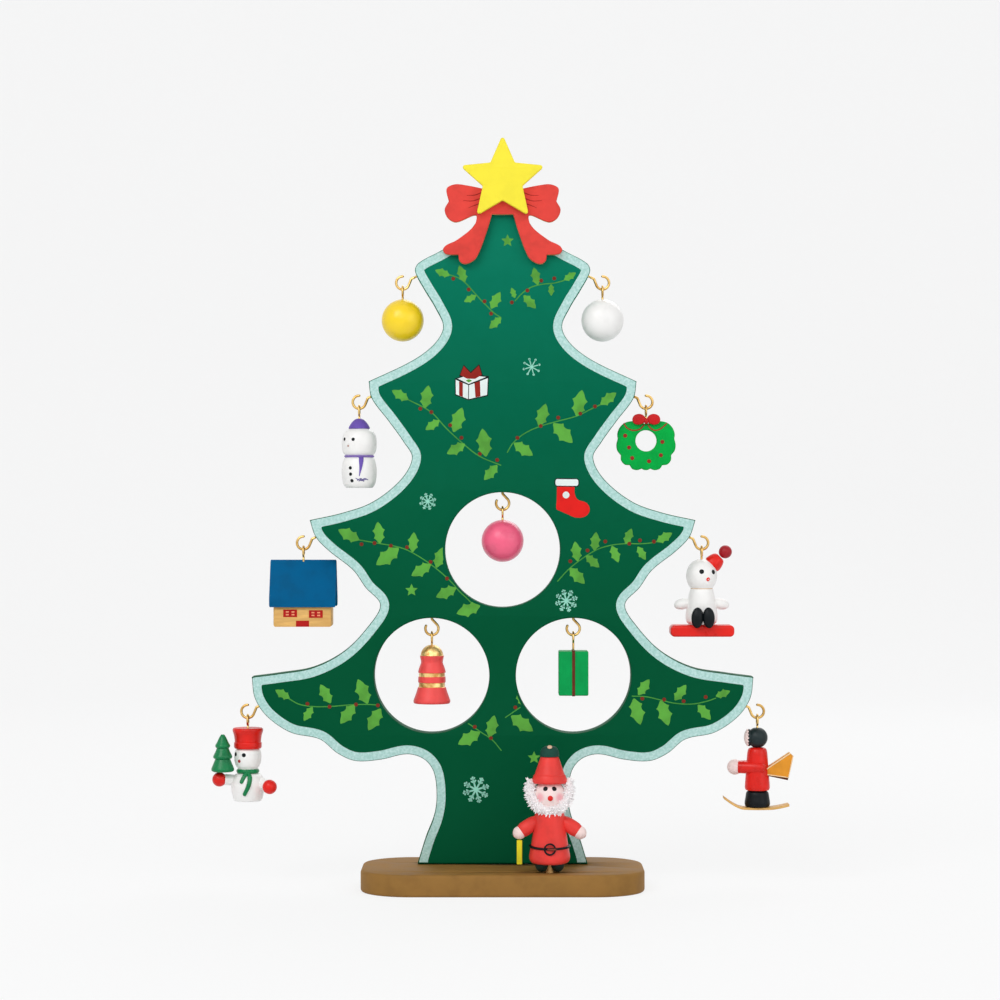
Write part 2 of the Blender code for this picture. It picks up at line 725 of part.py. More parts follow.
def build_stand():
    plan = rounded_polygon(rectangle(BASE_WIDTH, BASE_DEPTH), BASE_CORNER_RADIUS, BALL_STEPS)
    base = plate("base_plate", [plan], BASE_THICKNESS, (0.0, 0.0, BASE_THICKNESS / 2),
                 paint("stand_brown", (150, 112, 58)), None, FLAT, False, BASE_EDGE_ROUND)
    floor = BASE_THICKNESS - DOWEL_SEAT
    feet = [Vector((side * DOWEL_SPACING / 2, TREE_Y, floor)) for side in (-1, 1)]
    seat = Vector((0.0, 0.0, DOWEL_SEAT + CUT_OVERRUN))
    clear = Vector((0.0, 0.0, GAP))
    sockets = add_rods("dowel_sockets", [(foot - clear, foot + seat) for foot in feet],
                       DOWEL_DIAMETER / 2 + GAP, None)
    peg_foot = Vector((SANTA_OFFSET, SANTA_Y, BASE_THICKNESS - PEG_SEAT - GAP))
    peg_seat = Vector((0.0, 0.0, PEG_SEAT + CUT_OVERRUN))
    peg_socket = add_rods("peg_socket", [(peg_foot, peg_foot + peg_seat)], PEG_DIAMETER / 2 + GAP, None)
    cut(base, sockets, peg_socket)
    up = Vector((0.0, 0.0, DOWEL_LENGTH))
    for word, foot in zip(("left", "right"), feet):
        rods("dowel_" + word, [(foot, foot + up)], DOWEL_DIAMETER / 2, wood(), None)


def hook_point(place_at, u, v):
    """A point of a hook's own frame, in which its shank runs along v, on the tree."""
    centre_x, centre_z, hand, lean = place_at
    u = u * hand
    x = u * math.cos(lean) - v * math.sin(lean)
    z = u * math.sin(lean) + v * math.cos(lean)
    return Vector((centre_x + x, 0.0, centre_z + z))


def hook_path(place_at):
    """A hook's centre line: down its screwed shank, round, and up to its free end."""
    path = [hook_point(place_at, 0.0, HOOK_SHANK), hook_point(place_at, 0.0, HOOK_RADIUS * HOOK_BEND_SHARE)]
    for step in range(ARC_STEPS + 1):
        turn = 2 * math.pi * (HOOK_START_SHARE - HOOK_SWEEP_SHARE * step / ARC_STEPS)
        path.append(hook_point(place_at, HOOK_RADIUS * math.cos(turn), HOOK_RADIUS * math.sin(turn)))
    return path


def hook_bore(place_at):
    return (hook_point(place_at, 0.0, HOOK_SHANK + GAP), hook_point(place_at, 0.0, HOOK_RADIUS + HOOK_WIRE))


def side_hook_places():
    places = []
    for across, up in SIDE_HOOK_SHARES:
        for side in (-1, 1):
            places.append((side * across * TREE_HALF_WIDTH, up * TREE_HEIGHT, -side, side * HOOK_LEAN))
    return places


def hole_hook_places():
    rise = HOLE_DIAMETER / 2 - HOOK_DROP
    return [(across * TREE_HALF_WIDTH, up * TREE_HEIGHT + rise, 1, 0.0) for across, up in HOLE_SHARES]


def build_tree(tree):
    outline = mirrored(scaled(TREE_OUTLINE_SHARES, TREE_HALF_WIDTH, TREE_HEIGHT))
    holes = [circle(HOLE_DIAMETER / 2, HOLE_STEPS, centre)
             for centre in scaled(HOLE_SHARES, TREE_HALF_WIDTH, TREE_HEIGHT)]
    board = plate("tree_board", [outline] + holes, BOARD_THICKNESS, FLAT, paint("tree_green", (4, 92, 56)),
                  tree, edge=BOARD_EDGE_ROUND)
    side_places = side_hook_places()
    hole_places = hole_hook_places()
    bores = add_rods("hook_bores", [hook_bore(spot) for spot in side_places + hole_places],
                     HOOK_WIRE / 2 + GAP, tree)
    dowel_top = DOWEL_LENGTH - DOWEL_SEAT
    dowel_rods = [(Vector((side * DOWEL_SPACING / 2, 0.0, -CUT_OVERRUN)),
                   Vector((side * DOWEL_SPACING / 2, 0.0, dowel_top))) for side in (-1, 1)]
    cut(board, bores, add_rods("dowel_bores", dowel_rods, DOWEL_DIAMETER / 2 + GAP, tree))
    for word, spot in zip(HOOK_NAMES, side_places + hole_places):
        wire("hook_" + word, hook_path(spot), HOOK_WIRE, brass(), tree)
    bow = mirrored(scaled(BOW_OUTLINE_SHARES, BOW_HALF_WIDTH, BOW_HEIGHT))
    plate("bow", [bow], BOW_THICKNESS, (0.0, BOW_Y, BOW_TOP_SHARE * TREE_HEIGHT), red(), tree,
          edge=PLATE_EDGE_ROUND)
    corners = []
    for corner in range(10):
        turn = math.pi / 2 + math.pi * corner / 5
        reach = STAR_RADIUS * (STAR_INNER_SHARE if corner % 2 else 1)
        corners.append((reach * math.cos(turn), reach * math.sin(turn)))
    plate("star", [rounded_polygon(corners, STAR_TIP_ROUND, TIP_STEPS)], STAR_THICKNESS,
          (0.0, STAR_Y, STAR_HEIGHT_SHARE * TREE_HEIGHT), paint("star_yellow", (252, 232, 76)), tree,
          smooth=False, edge=PLATE_EDGE_ROUND)


def hang(name, spot, tree):
    """The point on a hook's wire that an ornament swings about."""
    return axis_point(name + "_axis", (spot[0], 0.0, spot[1] - HOOK_RADIUS), tree)


def ornament_top(neck=EYE_NECK):
    return -EYE_DROP - EYE_RADIUS - EYE_WIRE / 2 - neck


def add_eye(piece, axis, neck=EYE_NECK, screw=EYE_SCREW):
    """Gives an ornament its screw eye: a ring round the hook, square to it, on a shank screwed in."""
    path = [(0.0, 0.0, ornament_top(neck) - screw), (0.0, 0.0, -EYE_DROP - EYE_RADIUS * EYE_BEND_SHARE)]
    for step in range(ARC_STEPS + 1):
        turn = 2 * math.pi * (EYE_START_SHARE + EYE_SWEEP_SHARE * step / ARC_STEPS)
        path.append((0.0, EYE_RADIUS * math.cos(turn), -EYE_DROP + EYE_RADIUS * math.sin(turn)))
    return join(piece, as_mesh(wire(piece.name + "_eye", path, EYE_WIRE, brass(), axis)))


def build_ball(name, finish, axis):
    top = ornament_top()
    side = ball_side(BALL_DIAMETER, BALL_LATITUDE, -BALL_LATITUDE, BALL_STEPS, top - BALL_DIAMETER / 2)
    profile = [(0.0, top)] + side + [(0.0, top - BALL_DIAMETER)]
    add_eye(turned(name, profile, FLAT, finish, axis), axis)


def build_bell(axis):
    profile = moved(scaled(BELL_PROFILE_SHARES, BELL_DIAMETER / 2, BELL_HEIGHT), ornament_top())
    add_eye(turned("bell", closed_top(profile), FLAT, red(), axis), axis)


def build_snowman(axis):
    top = ornament_top()
    hat = moved(scaled(SNOWMAN_HAT_SHARES, SNOWMAN_HAT_DIAMETER / 2, SNOWMAN_HAT_HEIGHT), top)
    purple = paint("purple_paint", (110, 82, 168))
    hat_profile = closed_bottom(closed_top(hat))
    add_eye(turned("snowman_hat", hat_profile, FLAT, purple, axis, steps=SMALL_STEPS), axis)
    body_top = top - SNOWMAN_HAT_HEIGHT - GAP
    body = moved(scaled(SNOWMAN_PROFILE_SHARES, SNOWMAN_DIAMETER / 2, SNOWMAN_HEIGHT), body_top)
    turned("snowman_body", closed_top(body), FLAT, white(), axis)
    upper, lower = [body_top + share * SNOWMAN_HEIGHT for share in SNOWMAN_NECK_SHARES]
    middle = (upper + lower) / 2
    scarf = scarf_ring("snowman_scarf", upper - GAP, lower + GAP, radius_at(body, middle),
                       radius_at(body, upper + GAP) + SCARF_BULGE, purple, axis)
    path = [on_surface(body, 0.0, middle - SCARF_TAIL_LENGTH * step / ARC_STEPS, GAP + SCARF_TAIL_THICKNESS)
            for step in range(ARC_STEPS + 1)]
    join(scarf, as_mesh(wire("snowman_scarf_tail", path, 2 * SCARF_TAIL_THICKNESS, purple, axis)))


def scarf_ring(name, upper, lower, inner, outer, finish, axis):
    profile = [(outer, upper), (outer, lower), (inner + GAP, lower), (inner + GAP, upper)]
    return turned(name, profile, FLAT, finish, axis, ring=True)


def build_gift(axis):
    top = ornament_top(GIFT_NECK)
    box_top = top - RIBBON_THICKNESS - GAP
    centre = (0.0, 0.0, box_top - GIFT_HEIGHT / 2)
    box = block("gift_box", (GIFT_WIDTH, GIFT_DEPTH, GIFT_HEIGHT), centre, paint("gift_green", (0, 165, 88)),
                axis, GIFT_EDGE_ROUND)
    inside = rectangle(GIFT_DEPTH + 2 * GAP, GIFT_HEIGHT + 2 * GAP)
    outside = rectangle(GIFT_DEPTH + 2 * GAP + 2 * RIBBON_THICKNESS,
                        GIFT_HEIGHT + 2 * GAP + 2 * RIBBON_THICKNESS)
    ribbon = plate("gift_ribbon", [outside, inside], RIBBON_WIDTH, centre,
                   paint("ribbon_red", (150, 52, 40)), axis, SIDEWAYS, False)
    rod = (Vector((0.0, 0.0, box_top)), Vector((0.0, 0.0, top + CUT_OVERRUN)))
    cut(ribbon, add_rods("ribbon_bore", [rod], BORE_RADIUS, axis))
    add_eye(box, axis, GIFT_NECK)


def build_wreath(axis):
    top = ornament_top(WREATH_NECK)
    bottom = top - WREATH_NOTCH_SHARE * WREATH_HEIGHT
    outline = mirrored(scaled(WREATH_OUTLINE_SHARES, WREATH_HALF_WIDTH, WREATH_HEIGHT))
    hole = circle(WREATH_HOLE_DIAMETER / 2, TURN_STEPS, (0.0, WREATH_HOLE_SHARE * WREATH_HEIGHT))
    wreath = plate("wreath", [outline, hole], WREATH_THICKNESS, (0.0, 0.0, bottom),
                   paint("wreath_green", (0, 168, 74)), axis)
    add_eye(wreath, axis, WREATH_NECK, WREATH_SCREW)
    bow = mirrored(scaled(WREATH_BOW_SHARES, WREATH_BOW_HALF_WIDTH, WREATH_BOW_HEIGHT))
    bow_y = -WREATH_THICKNESS / 2 - GAP - WREATH_BOW_THICKNESS / 2
    bow_foot = bottom + WREATH_HEIGHT - WREATH_BOW_OVERLAP
    plate("wreath_bow", [bow], WREATH_BOW_THICKNESS, (0.0, bow_y, bow_foot), red(), axis)


def build_house(axis):
    top = ornament_top(HOUSE_NECK)
    run = HOUSE_DEPTH / 2 + ROOF_OVERHANG
    slope = ROOF_RISE / run
    steepness = math.hypot(1, slope)
    peak = top - ROOF_THICKNESS * steepness
    eaves = peak - slope * run
    roof = [(0.0, top), (run, eaves + ROOF_THICKNESS * steepness), (run, eaves), (0.0, peak),
            (-run, eaves), (-run, eaves + ROOF_THICKNESS * steepness)]
    wall_peak = peak - GAP * steepness
    wall_top = wall_peak - slope * HOUSE_DEPTH / 2
    wall_foot = wall_top - HOUSE_WALL_HEIGHT
    half = HOUSE_DEPTH / 2
    walls = [(0.0, wall_peak), (half, wall_top), (half, wall_foot), (-half, wall_foot), (-half, wall_top)]
    roof_piece = plate("house_roof", [roof], ROOF_WIDTH, FLAT, paint("roof_blue", (0, 96, 148)), axis,
                       SIDEWAYS, False, HOUSE_EDGE_ROUND)
    add_eye(roof_piece, axis, HOUSE_NECK)
    plate("house_walls", [walls], HOUSE_WIDTH, FLAT, wood(), axis, SIDEWAYS, False, HOUSE_EDGE_ROUND)


def sleeve(name, place_at, diameter, length, finish, parent, body_fit):
    """A round sleeve with a domed shoulder, cut to fit the body that carries it."""
    start, side, tilt, forward = place_at
    profile = scaled(SHOULDER_SHARES, diameter, diameter) + [(diameter / 2, -length), (0.0, -length)]
    piece = turned(name, profile, start, finish, parent, limb_rotation(side, tilt, forward), SMALL_STEPS)
    return cut(piece, body_fit)


def arm(name, place_at, diameter, length, hand_diameter, finish, parent, body_fit, seat=HAND_SEAT_SHARE):
    """A sleeve with a ball for its hand."""
    piece = sleeve(name, place_at, diameter, length, finish, parent, body_fit)
    centre = hand_centre(place_at, length, hand_diameter, seat)
    return join(piece, ellipsoid(name + "_hand", [hand_diameter] * 3, centre, finish, parent))


def hand_centre(place_at, length, hand_diameter, seat=HAND_SEAT_SHARE):
    start, side, tilt, forward = place_at
    return Vector(start) + limb_direction(side, tilt, forward) * (length + hand_diameter * seat)


def build_treeman(axis):
    top = ornament_top()
    hat = moved(scaled(TREEMAN_HAT_SHARES, TREEMAN_HAT_DIAMETER / 2, TREEMAN_HAT_HEIGHT), top)
    add_eye(turned("treeman_hat", closed_bottom(closed_top(hat)), FLAT, red(), axis), axis)
    body_top = top - TREEMAN_HAT_HEIGHT - GAP
    body = moved(scaled(TREEMAN_PROFILE_SHARES, TREEMAN_DIAMETER / 2, TREEMAN_HEIGHT), body_top)
    turned("treeman_body", closed_top(body), FLAT, white(), axis)
    body_fit = fit_cutter("treeman_body_fit", body, FLAT, axis)
    green = paint("scarf_green", (10, 120, 70))
    upper, lower = [body_top + share * TREEMAN_HEIGHT for share in TREEMAN_NECK_SHARES]
    middle = (upper + lower) / 2
    neck = radius_at(body, middle)
    outer = neck + 2 * GAP + TREEMAN_SCARF_BULGE
    scarf = scarf_ring("treeman_scarf", upper, lower, neck, outer, green, axis)
    stand_off = GAP + TREEMAN_SCARF_WIRE / 2
    for index, shares in enumerate(TREEMAN_TAIL_SHARES):
        path = [on_surface(body, across, middle + drop, stand_off)
                for across, drop in scaled(shares, TREEMAN_SCARF_TAIL, TREEMAN_SCARF_TAIL)]
        tail_name = "treeman_scarf_tail_" + str(index + 1)
        join(scarf, as_mesh(wire(tail_name, path, TREEMAN_SCARF_WIRE, green, axis)))
    shoulder = body_top + TREEMAN_SHOULDER_SHARE * TREEMAN_HEIGHT
    inset = TREEMAN_SHOULDER_INSET_SHARE * radius_at(body, shoulder)
    holding = ((-inset, 0.0, shoulder), -1, TREEMAN_LEFT_TILT, TREEMAN_LEFT_FORWARD)
    waving = ((inset, 0.0, shoulder), 1, TREEMAN_RIGHT_TILT, TREEMAN_RIGHT_FORWARD)
    for word, place_at in (("left", holding), ("right", waving)):
        arm("treeman_arm_" + word, place_at, TREEMAN_ARM_DIAMETER, TREEMAN_ARM_LENGTH,
            TREEMAN_MITTEN_DIAMETER, white(), axis, body_fit)
    mitten = hand_centre(holding, TREEMAN_ARM_LENGTH, TREEMAN_MITTEN_DIAMETER)
    tree_foot = mitten.z + TREEMAN_MITTEN_DIAMETER / 2 + GAP
    profile = scaled(LITTLE_TREE_SHARES, LITTLE_TREE_DIAMETER / 2, LITTLE_TREE_HEIGHT)
    turned("treeman_little_tree", [(0.0, 0.0)] + profile,
           (-LITTLE_TREE_OFFSET, -LITTLE_TREE_FORWARD, tree_foot + LITTLE_TREE_HEIGHT), green, axis,
           steps=SMALL_STEPS)


def build_soldier(axis):
    top = ornament_top()
    upper = flat_latitude(SOLDIER_HEAD_DIAMETER, SOLDIER_HEAD_HEIGHT)
    head_centre = top - SOLDIER_HEAD_HEIGHT / 2
    head = ball_side(SOLDIER_HEAD_DIAMETER, upper, -upper, BALL_STEPS, head_centre)
    head_piece = turned("soldier_head", closed_bottom(closed_top(head)), FLAT, black(), axis)
    face = ellipsoid("soldier_face", (SOLDIER_FACE_DEPTH, SOLDIER_FACE_WIDTH, SOLDIER_FACE_HEIGHT),
                     (-SOLDIER_FACE_SHARE * SOLDIER_HEAD_DIAMETER, 0.0, head_centre), skin(), axis)
    add_eye(join(head_piece, face), axis)
    body_top = top - SOLDIER_HEAD_HEIGHT - GAP
    body = moved(scaled(SOLDIER_BODY_SHARES, SOLDIER_BODY_DIAMETER / 2, SOLDIER_BODY_HEIGHT), body_top)
    turned("soldier_body", closed_top(body), FLAT, red(), axis)
    body_fit = fit_cutter("soldier_body_fit", body, FLAT, axis)
    shoulder = body_top + SOLDIER_ARM_SHARE * SOLDIER_BODY_HEIGHT
    reach = SOLDIER_ARM_LENGTH + SOLDIER_HAND_DIAMETER * SOLDIER_HAND_SEAT_SHARE
    toe_in = math.asin(SOLDIER_SHOULDER_OUT / reach)
    near, far = [((SOLDIER_SHOULDER_BACK, side * SOLDIER_SHOULDER_OUT, shoulder), -1, math.radians(90),
                  side * toe_in) for side in (-1, 1)]
    arms = arm("soldier_arm", near, SOLDIER_ARM_DIAMETER, SOLDIER_ARM_LENGTH, SOLDIER_HAND_DIAMETER, red(),
               axis, body_fit, SOLDIER_HAND_SEAT_SHARE)
    join(arms, sleeve("soldier_far_sleeve", far, SOLDIER_ARM_DIAMETER, SOLDIER_ARM_LENGTH, red(), axis,
                      body_fit))
    boot_top = body_top - SOLDIER_BODY_HEIGHT - GAP
    boots = moved(scaled(SOLDIER_BOOT_SHARES, SOLDIER_BOOT_DIAMETER / 2, SOLDIER_BOOT_HEIGHT), boot_top)
    turned("soldier_boots", closed_top(boots), FLAT, black(), axis)
    pack = scaled(PACK_OUTLINE_SHARES, PACK_REACH, PACK_HEIGHT)
    pack_piece = plate("soldier_pack", [pack], PACK_THICKNESS,
                       (PACK_START, 0.0, body_top + PACK_BOTTOM_SHARE * SOLDIER_BODY_HEIGHT),
                       paint("gold_paint", (222, 150, 52)), axis, smooth=False)
    cut(pack_piece, body_fit)
    line = scaled(ROCKER_LINE_SHARES, ROCKER_LENGTH, ROCKER_RISE)
    upper_side = [line[0] + (CORNER,)] + line[1:-1] + [line[-1] + (CORNER,)]
    lower_side = moved(list(reversed(upper_side)), -ROCKER_THICKNESS)
    plate("soldier_rocker", [upper_side + lower_side], ROCKER_WIDTH,
          (0.0, 0.0, boot_top - SOLDIER_BOOT_HEIGHT - GAP), wood(), axis)


def build_doll(axis):
    top = ornament_top()
    body = moved(scaled(DOLL_PROFILE_SHARES, DOLL_HEAD_DIAMETER / 2, DOLL_HEIGHT), top)
    add_eye(turned("doll_body", closed_top(body), FLAT, white(), axis), axis)
    body_fit = fit_cutter("doll_body_fit", body, FLAT, axis)
    shoulder = top + DOLL_SHOULDER_SHARE * DOLL_HEIGHT
    body_foot = top - DOLL_HEIGHT
    boot_level = body_foot + DOLL_BOOT_LEVEL_SHARE * DOLL_BOOT_HEIGHT
    boot_y = -radius_at(body, boot_level) - GAP - DOLL_BOOT_DEPTH / 2
    boot_z = body_foot + DOLL_BOOT_HEIGHT / 2 - DOLL_BOOT_DROP
    boot_size = (DOLL_BOOT_WIDTH, DOLL_BOOT_DEPTH, DOLL_BOOT_HEIGHT)
    arm_size = (DOLL_ARM_LENGTH, DOLL_ARM_DIAMETER, DOLL_ARM_DIAMETER)
    boots = []
    for word, boot_name, side in (("left", "doll_boots", -1), ("right", "doll_right_boot", 1)):
        arm_at = (side * DOLL_ARM_OFFSET, 0.0, shoulder)
        arm_turn = (0.0, side * DOLL_ARM_TILT, 0.0)
        cut(ellipsoid("doll_arm_" + word, arm_size, arm_at, white(), axis, arm_turn), body_fit)
        boot_at = (side * DOLL_BOOT_SPREAD_SHARE * DOLL_BOOT_WIDTH, boot_y, boot_z)
        boot_turn = (0.0, -side * DOLL_BOOT_SPLAY, 0.0)
        boots.append(ellipsoid(boot_name, boot_size, boot_at, black(), axis, boot_turn))
    join(*boots)
    sled = rounded_polygon(rectangle(SLED_LENGTH, SLED_THICKNESS), SLED_CORNER_RADIUS, TIP_STEPS)
    plate("doll_sled", [sled], SLED_DEPTH, (0.0, 0.0, body_foot - GAP - SLED_THICKNESS / 2), red(), axis,
          smooth=False, edge=SLED_EDGE_ROUND)
    head_centre = (0.0, CAP_SETBACK, top - DOLL_HEAD_DIAMETER / 2)
    root = CAP_ROOT_SHARE * DOLL_HEAD_DIAMETER / 2
    cap_top = root + CAP_HEIGHT
    cap = moved(scaled(CAP_SHARES, CAP_DIAMETER / 2, CAP_HEIGHT), cap_top)
    cap_profile = closed_bottom(closed_top(cap))
    tilt = (0.0, CAP_TILT, 0.0)
    cut(turned("doll_cap", cap_profile, head_centre, red(), axis, tilt, SMALL_STEPS), body_fit)
    pompom_reach = cap_top + GAP + CAP_POMPOM_DIAMETER / 2
    pompom_at = Vector(head_centre) + Vector((math.sin(CAP_TILT), 0.0, math.cos(CAP_TILT))) * pompom_reach
    ellipsoid("doll_pompom", [CAP_POMPOM_DIAMETER] * 3, pompom_at, paint("dark_red_paint", (150, 30, 34)),
              axis)


def build_santa(stand_point):
    peg_foot = Vector((0.0, 0.0, -PEG_SEAT))
    peg_top = Vector((0.0, 0.0, PEG_LENGTH - PEG_SEAT))
    rods("santa_peg", [(peg_foot, peg_top)], PEG_DIAMETER / 2, wood(), stand_point)
    boots = block("santa_boots", (SANTA_BOOTS_WIDTH, SANTA_BOOTS_DEPTH, SANTA_BOOT_HEIGHT),
                  (0.0, 0.0, GAP + SANTA_BOOT_HEIGHT / 2), black(), stand_point, SANTA_BOOT_ROUND)
    cut(boots, add_rods("boots_bore", [(peg_foot, peg_top)], PEG_DIAMETER / 2 + GAP, stand_point))
    coat_foot = GAP + SANTA_BOOT_HEIGHT + GAP
    coat_top = coat_foot + COAT_HEIGHT
    coat = moved(scaled(COAT_PROFILE_SHARES, COAT_DIAMETER / 2, COAT_HEIGHT), coat_top)
    peg_bore = PEG_LENGTH - PEG_SEAT - coat_foot + GAP
    bored_coat = bored_below(coat, peg_bore, PEG_DIAMETER / 2 + GAP)
    turned("santa_coat", closed_top(bored_coat), FLAT, red(), stand_point)
    coat_fit = fit_cutter("santa_coat_fit", coat, FLAT, stand_point)
    belt_z = coat_top + BELT_SHARE * COAT_HEIGHT
    belt_inner = radius_at(coat, belt_z - BELT_HEIGHT / 2)
    belt = scarf_ring("santa_belt", belt_z + BELT_HEIGHT / 2, belt_z - BELT_HEIGHT / 2, belt_inner,
                      belt_inner + GAP + BELT_THICKNESS, black(), stand_point)
    section = [(BUCKLE_DIAMETER / 2 + x, z) for x, z in reversed(circle(BUCKLE_WIRE / 2, SMALL_STEPS // 2))]
    buckle = turned("santa_buckle", section, (0.0, -belt_inner - GAP - BELT_THICKNESS, belt_z), black(),
                    stand_point, UPRIGHT, SMALL_STEPS, True)
    join(belt, buckle)
    head_foot = coat_top + GAP
    head_centre = head_foot + SANTA_HEAD_HEIGHT / 2
    upper = flat_latitude(SANTA_HEAD_DIAMETER, SANTA_HEAD_HEIGHT)
    head = ball_side(SANTA_HEAD_DIAMETER, upper, -upper, BALL_STEPS, head_centre)
    turned("santa_head", closed_bottom(closed_top(head)), FLAT, skin(), stand_point)
    head_fit = fit_cutter("santa_head_fit", head, FLAT, stand_point)
    hat_top = head_foot + SANTA_HEAD_HEIGHT + GAP + SANTA_HAT_HEIGHT
    hat = moved(scaled(SANTA_HAT_SHARES, SANTA_HAT_DIAMETER / 2, SANTA_HAT_HEIGHT), hat_top)
    turned("santa_hat", closed_top(hat), FLAT, red(), stand_point)
    pompom = dome_profile(POMPOM_DIAMETER, POMPOM_HEIGHT, BALL_STEPS // 2, hat_top + GAP + POMPOM_HEIGHT)
    turned("santa_pompom", closed_bottom([(0.0, hat_top + GAP + POMPOM_HEIGHT)] + pompom), FLAT,
           paint("pompom_green", (30, 84, 66)), stand_point, steps=SMALL_STEPS)
    path = [(x * BEARD_SPREAD, y * BEARD_REACH, head_centre + z * BEARD_DROP)
            for x, y, z in BEARD_PATH_SHARES]
    beard = as_mesh(wire("santa_beard", path, 2 * BEARD_TUBE_RADIUS, white(), stand_point,
                         BEARD_TAPER_SHARES, 2))
    cut(beard, head_fit, coat_fit)
    shoulder = coat_top + SANTA_SHOULDER_SHARE * COAT_HEIGHT
    inset = SANTA_SHOULDER_INSET_SHARE * radius_at(coat, shoulder)
    for word, side in (("left", -1), ("right", 1)):
        arm("santa_arm_" + word, ((side * inset, 0.0, shoulder), side, SLEEVE_TILT, SLEEVE_FORWARD),
            SLEEVE_DIAMETER, SLEEVE_LENGTH, HAND_DIAMETER, red(), stand_point, coat_fit)
    holding = ((-inset, 0.0, shoulder), -1, SLEEVE_TILT, SLEEVE_FORWARD)
    grip = hand_centre(holding, SLEEVE_LENGTH, HAND_DIAMETER)
    block("santa_stick", (STICK_WIDTH, STICK_DEPTH, STICK_LENGTH),
          (grip.x, grip.y, grip.z - HAND_DIAMETER / 2 - GAP - STICK_LENGTH / 2),
          paint("stick_yellow", (226, 208, 60)), stand_point)


def main():
    build_stand()
    tree = axis_point("tree_point", (0.0, TREE_Y, FOOT_Z))
    build_tree(tree)
    spots = side_hook_places()
    holes = hole_hook_places()
    build_ball("yellow_ball", paint("yellow_paint", (252, 216, 30)), hang("yellow_ball", spots[0], tree))
    build_ball("white_ball", white(), hang("white_ball", spots[1], tree))
    build_snowman(hang("snowman", spots[2], tree))
    build_wreath(hang("wreath", spots[3], tree))
    build_house(hang("house", spots[4], tree))
    build_doll(hang("doll", spots[5], tree))
    build_treeman(hang("treeman", spots[6], tree))
    build_soldier(hang("soldier", spots[7], tree))
    build_ball("pink_ball", paint("pink_paint", (240, 96, 130)), hang("pink_ball", holes[0], tree))
    build_bell(hang("bell", holes[1], tree))
    build_gift(hang("gift", holes[2], tree))
    build_santa(axis_point("santa_point", (SANTA_OFFSET, SANTA_Y, BASE_THICKNESS)))


empty_scene()
PARTS = new_collection("wooden_christmas_tree")
CUTTERS = new_collection("cutters")
main()
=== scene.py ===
"""Looks of a flat wooden Christmas tree on its stand: its prints, hooks, ornaments and Santa.

Lengths are in metres, in the frame of the CAD model: +Z is up and the painted front faces -Y.
Tables whose names end in SHARES hold fractions of the sizes that they are used with. Tables
whose names end in PIXELS hold places read in the photograph.
"""

import json
import math
import random

import bmesh
import bpy
import numpy as np
from mathutils import Matrix, Vector
from mathutils.geometry import interpolate_bezier, tessellate_polygon


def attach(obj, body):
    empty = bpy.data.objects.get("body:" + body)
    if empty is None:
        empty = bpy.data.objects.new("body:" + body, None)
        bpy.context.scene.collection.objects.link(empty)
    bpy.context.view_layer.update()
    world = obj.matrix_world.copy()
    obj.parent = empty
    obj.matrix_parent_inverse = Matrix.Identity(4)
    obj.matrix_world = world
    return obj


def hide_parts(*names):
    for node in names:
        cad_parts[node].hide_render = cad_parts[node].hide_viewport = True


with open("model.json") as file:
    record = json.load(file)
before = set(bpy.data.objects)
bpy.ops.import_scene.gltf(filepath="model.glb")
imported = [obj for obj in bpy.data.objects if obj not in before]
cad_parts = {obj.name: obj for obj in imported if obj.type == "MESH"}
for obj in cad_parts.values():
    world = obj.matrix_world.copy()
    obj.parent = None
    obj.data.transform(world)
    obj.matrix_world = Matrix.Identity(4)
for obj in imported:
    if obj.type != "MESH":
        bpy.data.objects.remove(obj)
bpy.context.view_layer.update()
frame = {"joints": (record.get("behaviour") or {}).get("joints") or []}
HINGES = {joint["child"]: Vector(joint["pos_m"]) for joint in frame["joints"] if joint["type"] == "hinge"}

# General
CORNER = True
GAP = 0.0003
MERGE_DISTANCE = 0.000001
CURVE_STEPS = 8
PROFILE_STEPS = 5
TURN_STEPS = 56
ROUND_STEPS = 4
WIRE_STEPS = 12
SIDE_STEPS = 28
CORNER_STEPS = 6
LINE_STEPS = 5
DRAWN_STEPS = 6
ROD_STEPS = 32
LIMB_STEPS = 28
ARC_FILL_STEPS = 3
ELLIPSOID_STEPS = 40
ELLIPSOID_RISES = 20
DOT_STEPS = 20
DOT_RISES = 5
DOT_HEIGHT_SHARE = 0.3
TUBE_CAP_RISES = [math.radians(angle) for angle in (90, 60, 30)]
LEAST_SINE = 0.1
MITRE_LIMIT = 0.5
KEPT_SHARE = 0.98
SHARP_ANGLE = math.radians(38)
UPRIGHT = Matrix.Rotation(math.radians(90), 4, "X")
SIDEWAYS = Matrix.Rotation(math.radians(90), 4, "Z") @ UPRIGHT
ACROSS = Vector((1.0, 0.0, 0.0))
FORWARD = Vector((0.0, -1.0, 0.0))
SIDES = (("left", -1), ("right", 1))

# The photograph: the middle of the trunk's foot, its scale on the board and its tilt
PIXEL = 0.0004132
PHOTO_FOOT = (502.6, 864.0)
PHOTO_MIDDLE = (500.0, 500.0)
PHOTO_WIDTH = 1000
PHOTO_TILT = math.radians(0.72)

# Stand
BASE_WIDTH = 0.116
BASE_DEPTH = 0.061
BASE_THICKNESS = 0.009
BASE_CORNER_RADIUS = 0.0205
BASE_CORNER_STEPS = 20
BASE_EDGE_ROUND = 0.0012
TREE_Y = 0.0095
DOWEL_DIAMETER = 0.003
DOWEL_SPACING = 0.032
DOWEL_LENGTH = 0.015
DOWEL_SEAT = 0.006
ROD_END_ROUND = 0.0004
SOCKET_TOP_SHARE = 1.5
BORE_OVERRUN = 4 * GAP

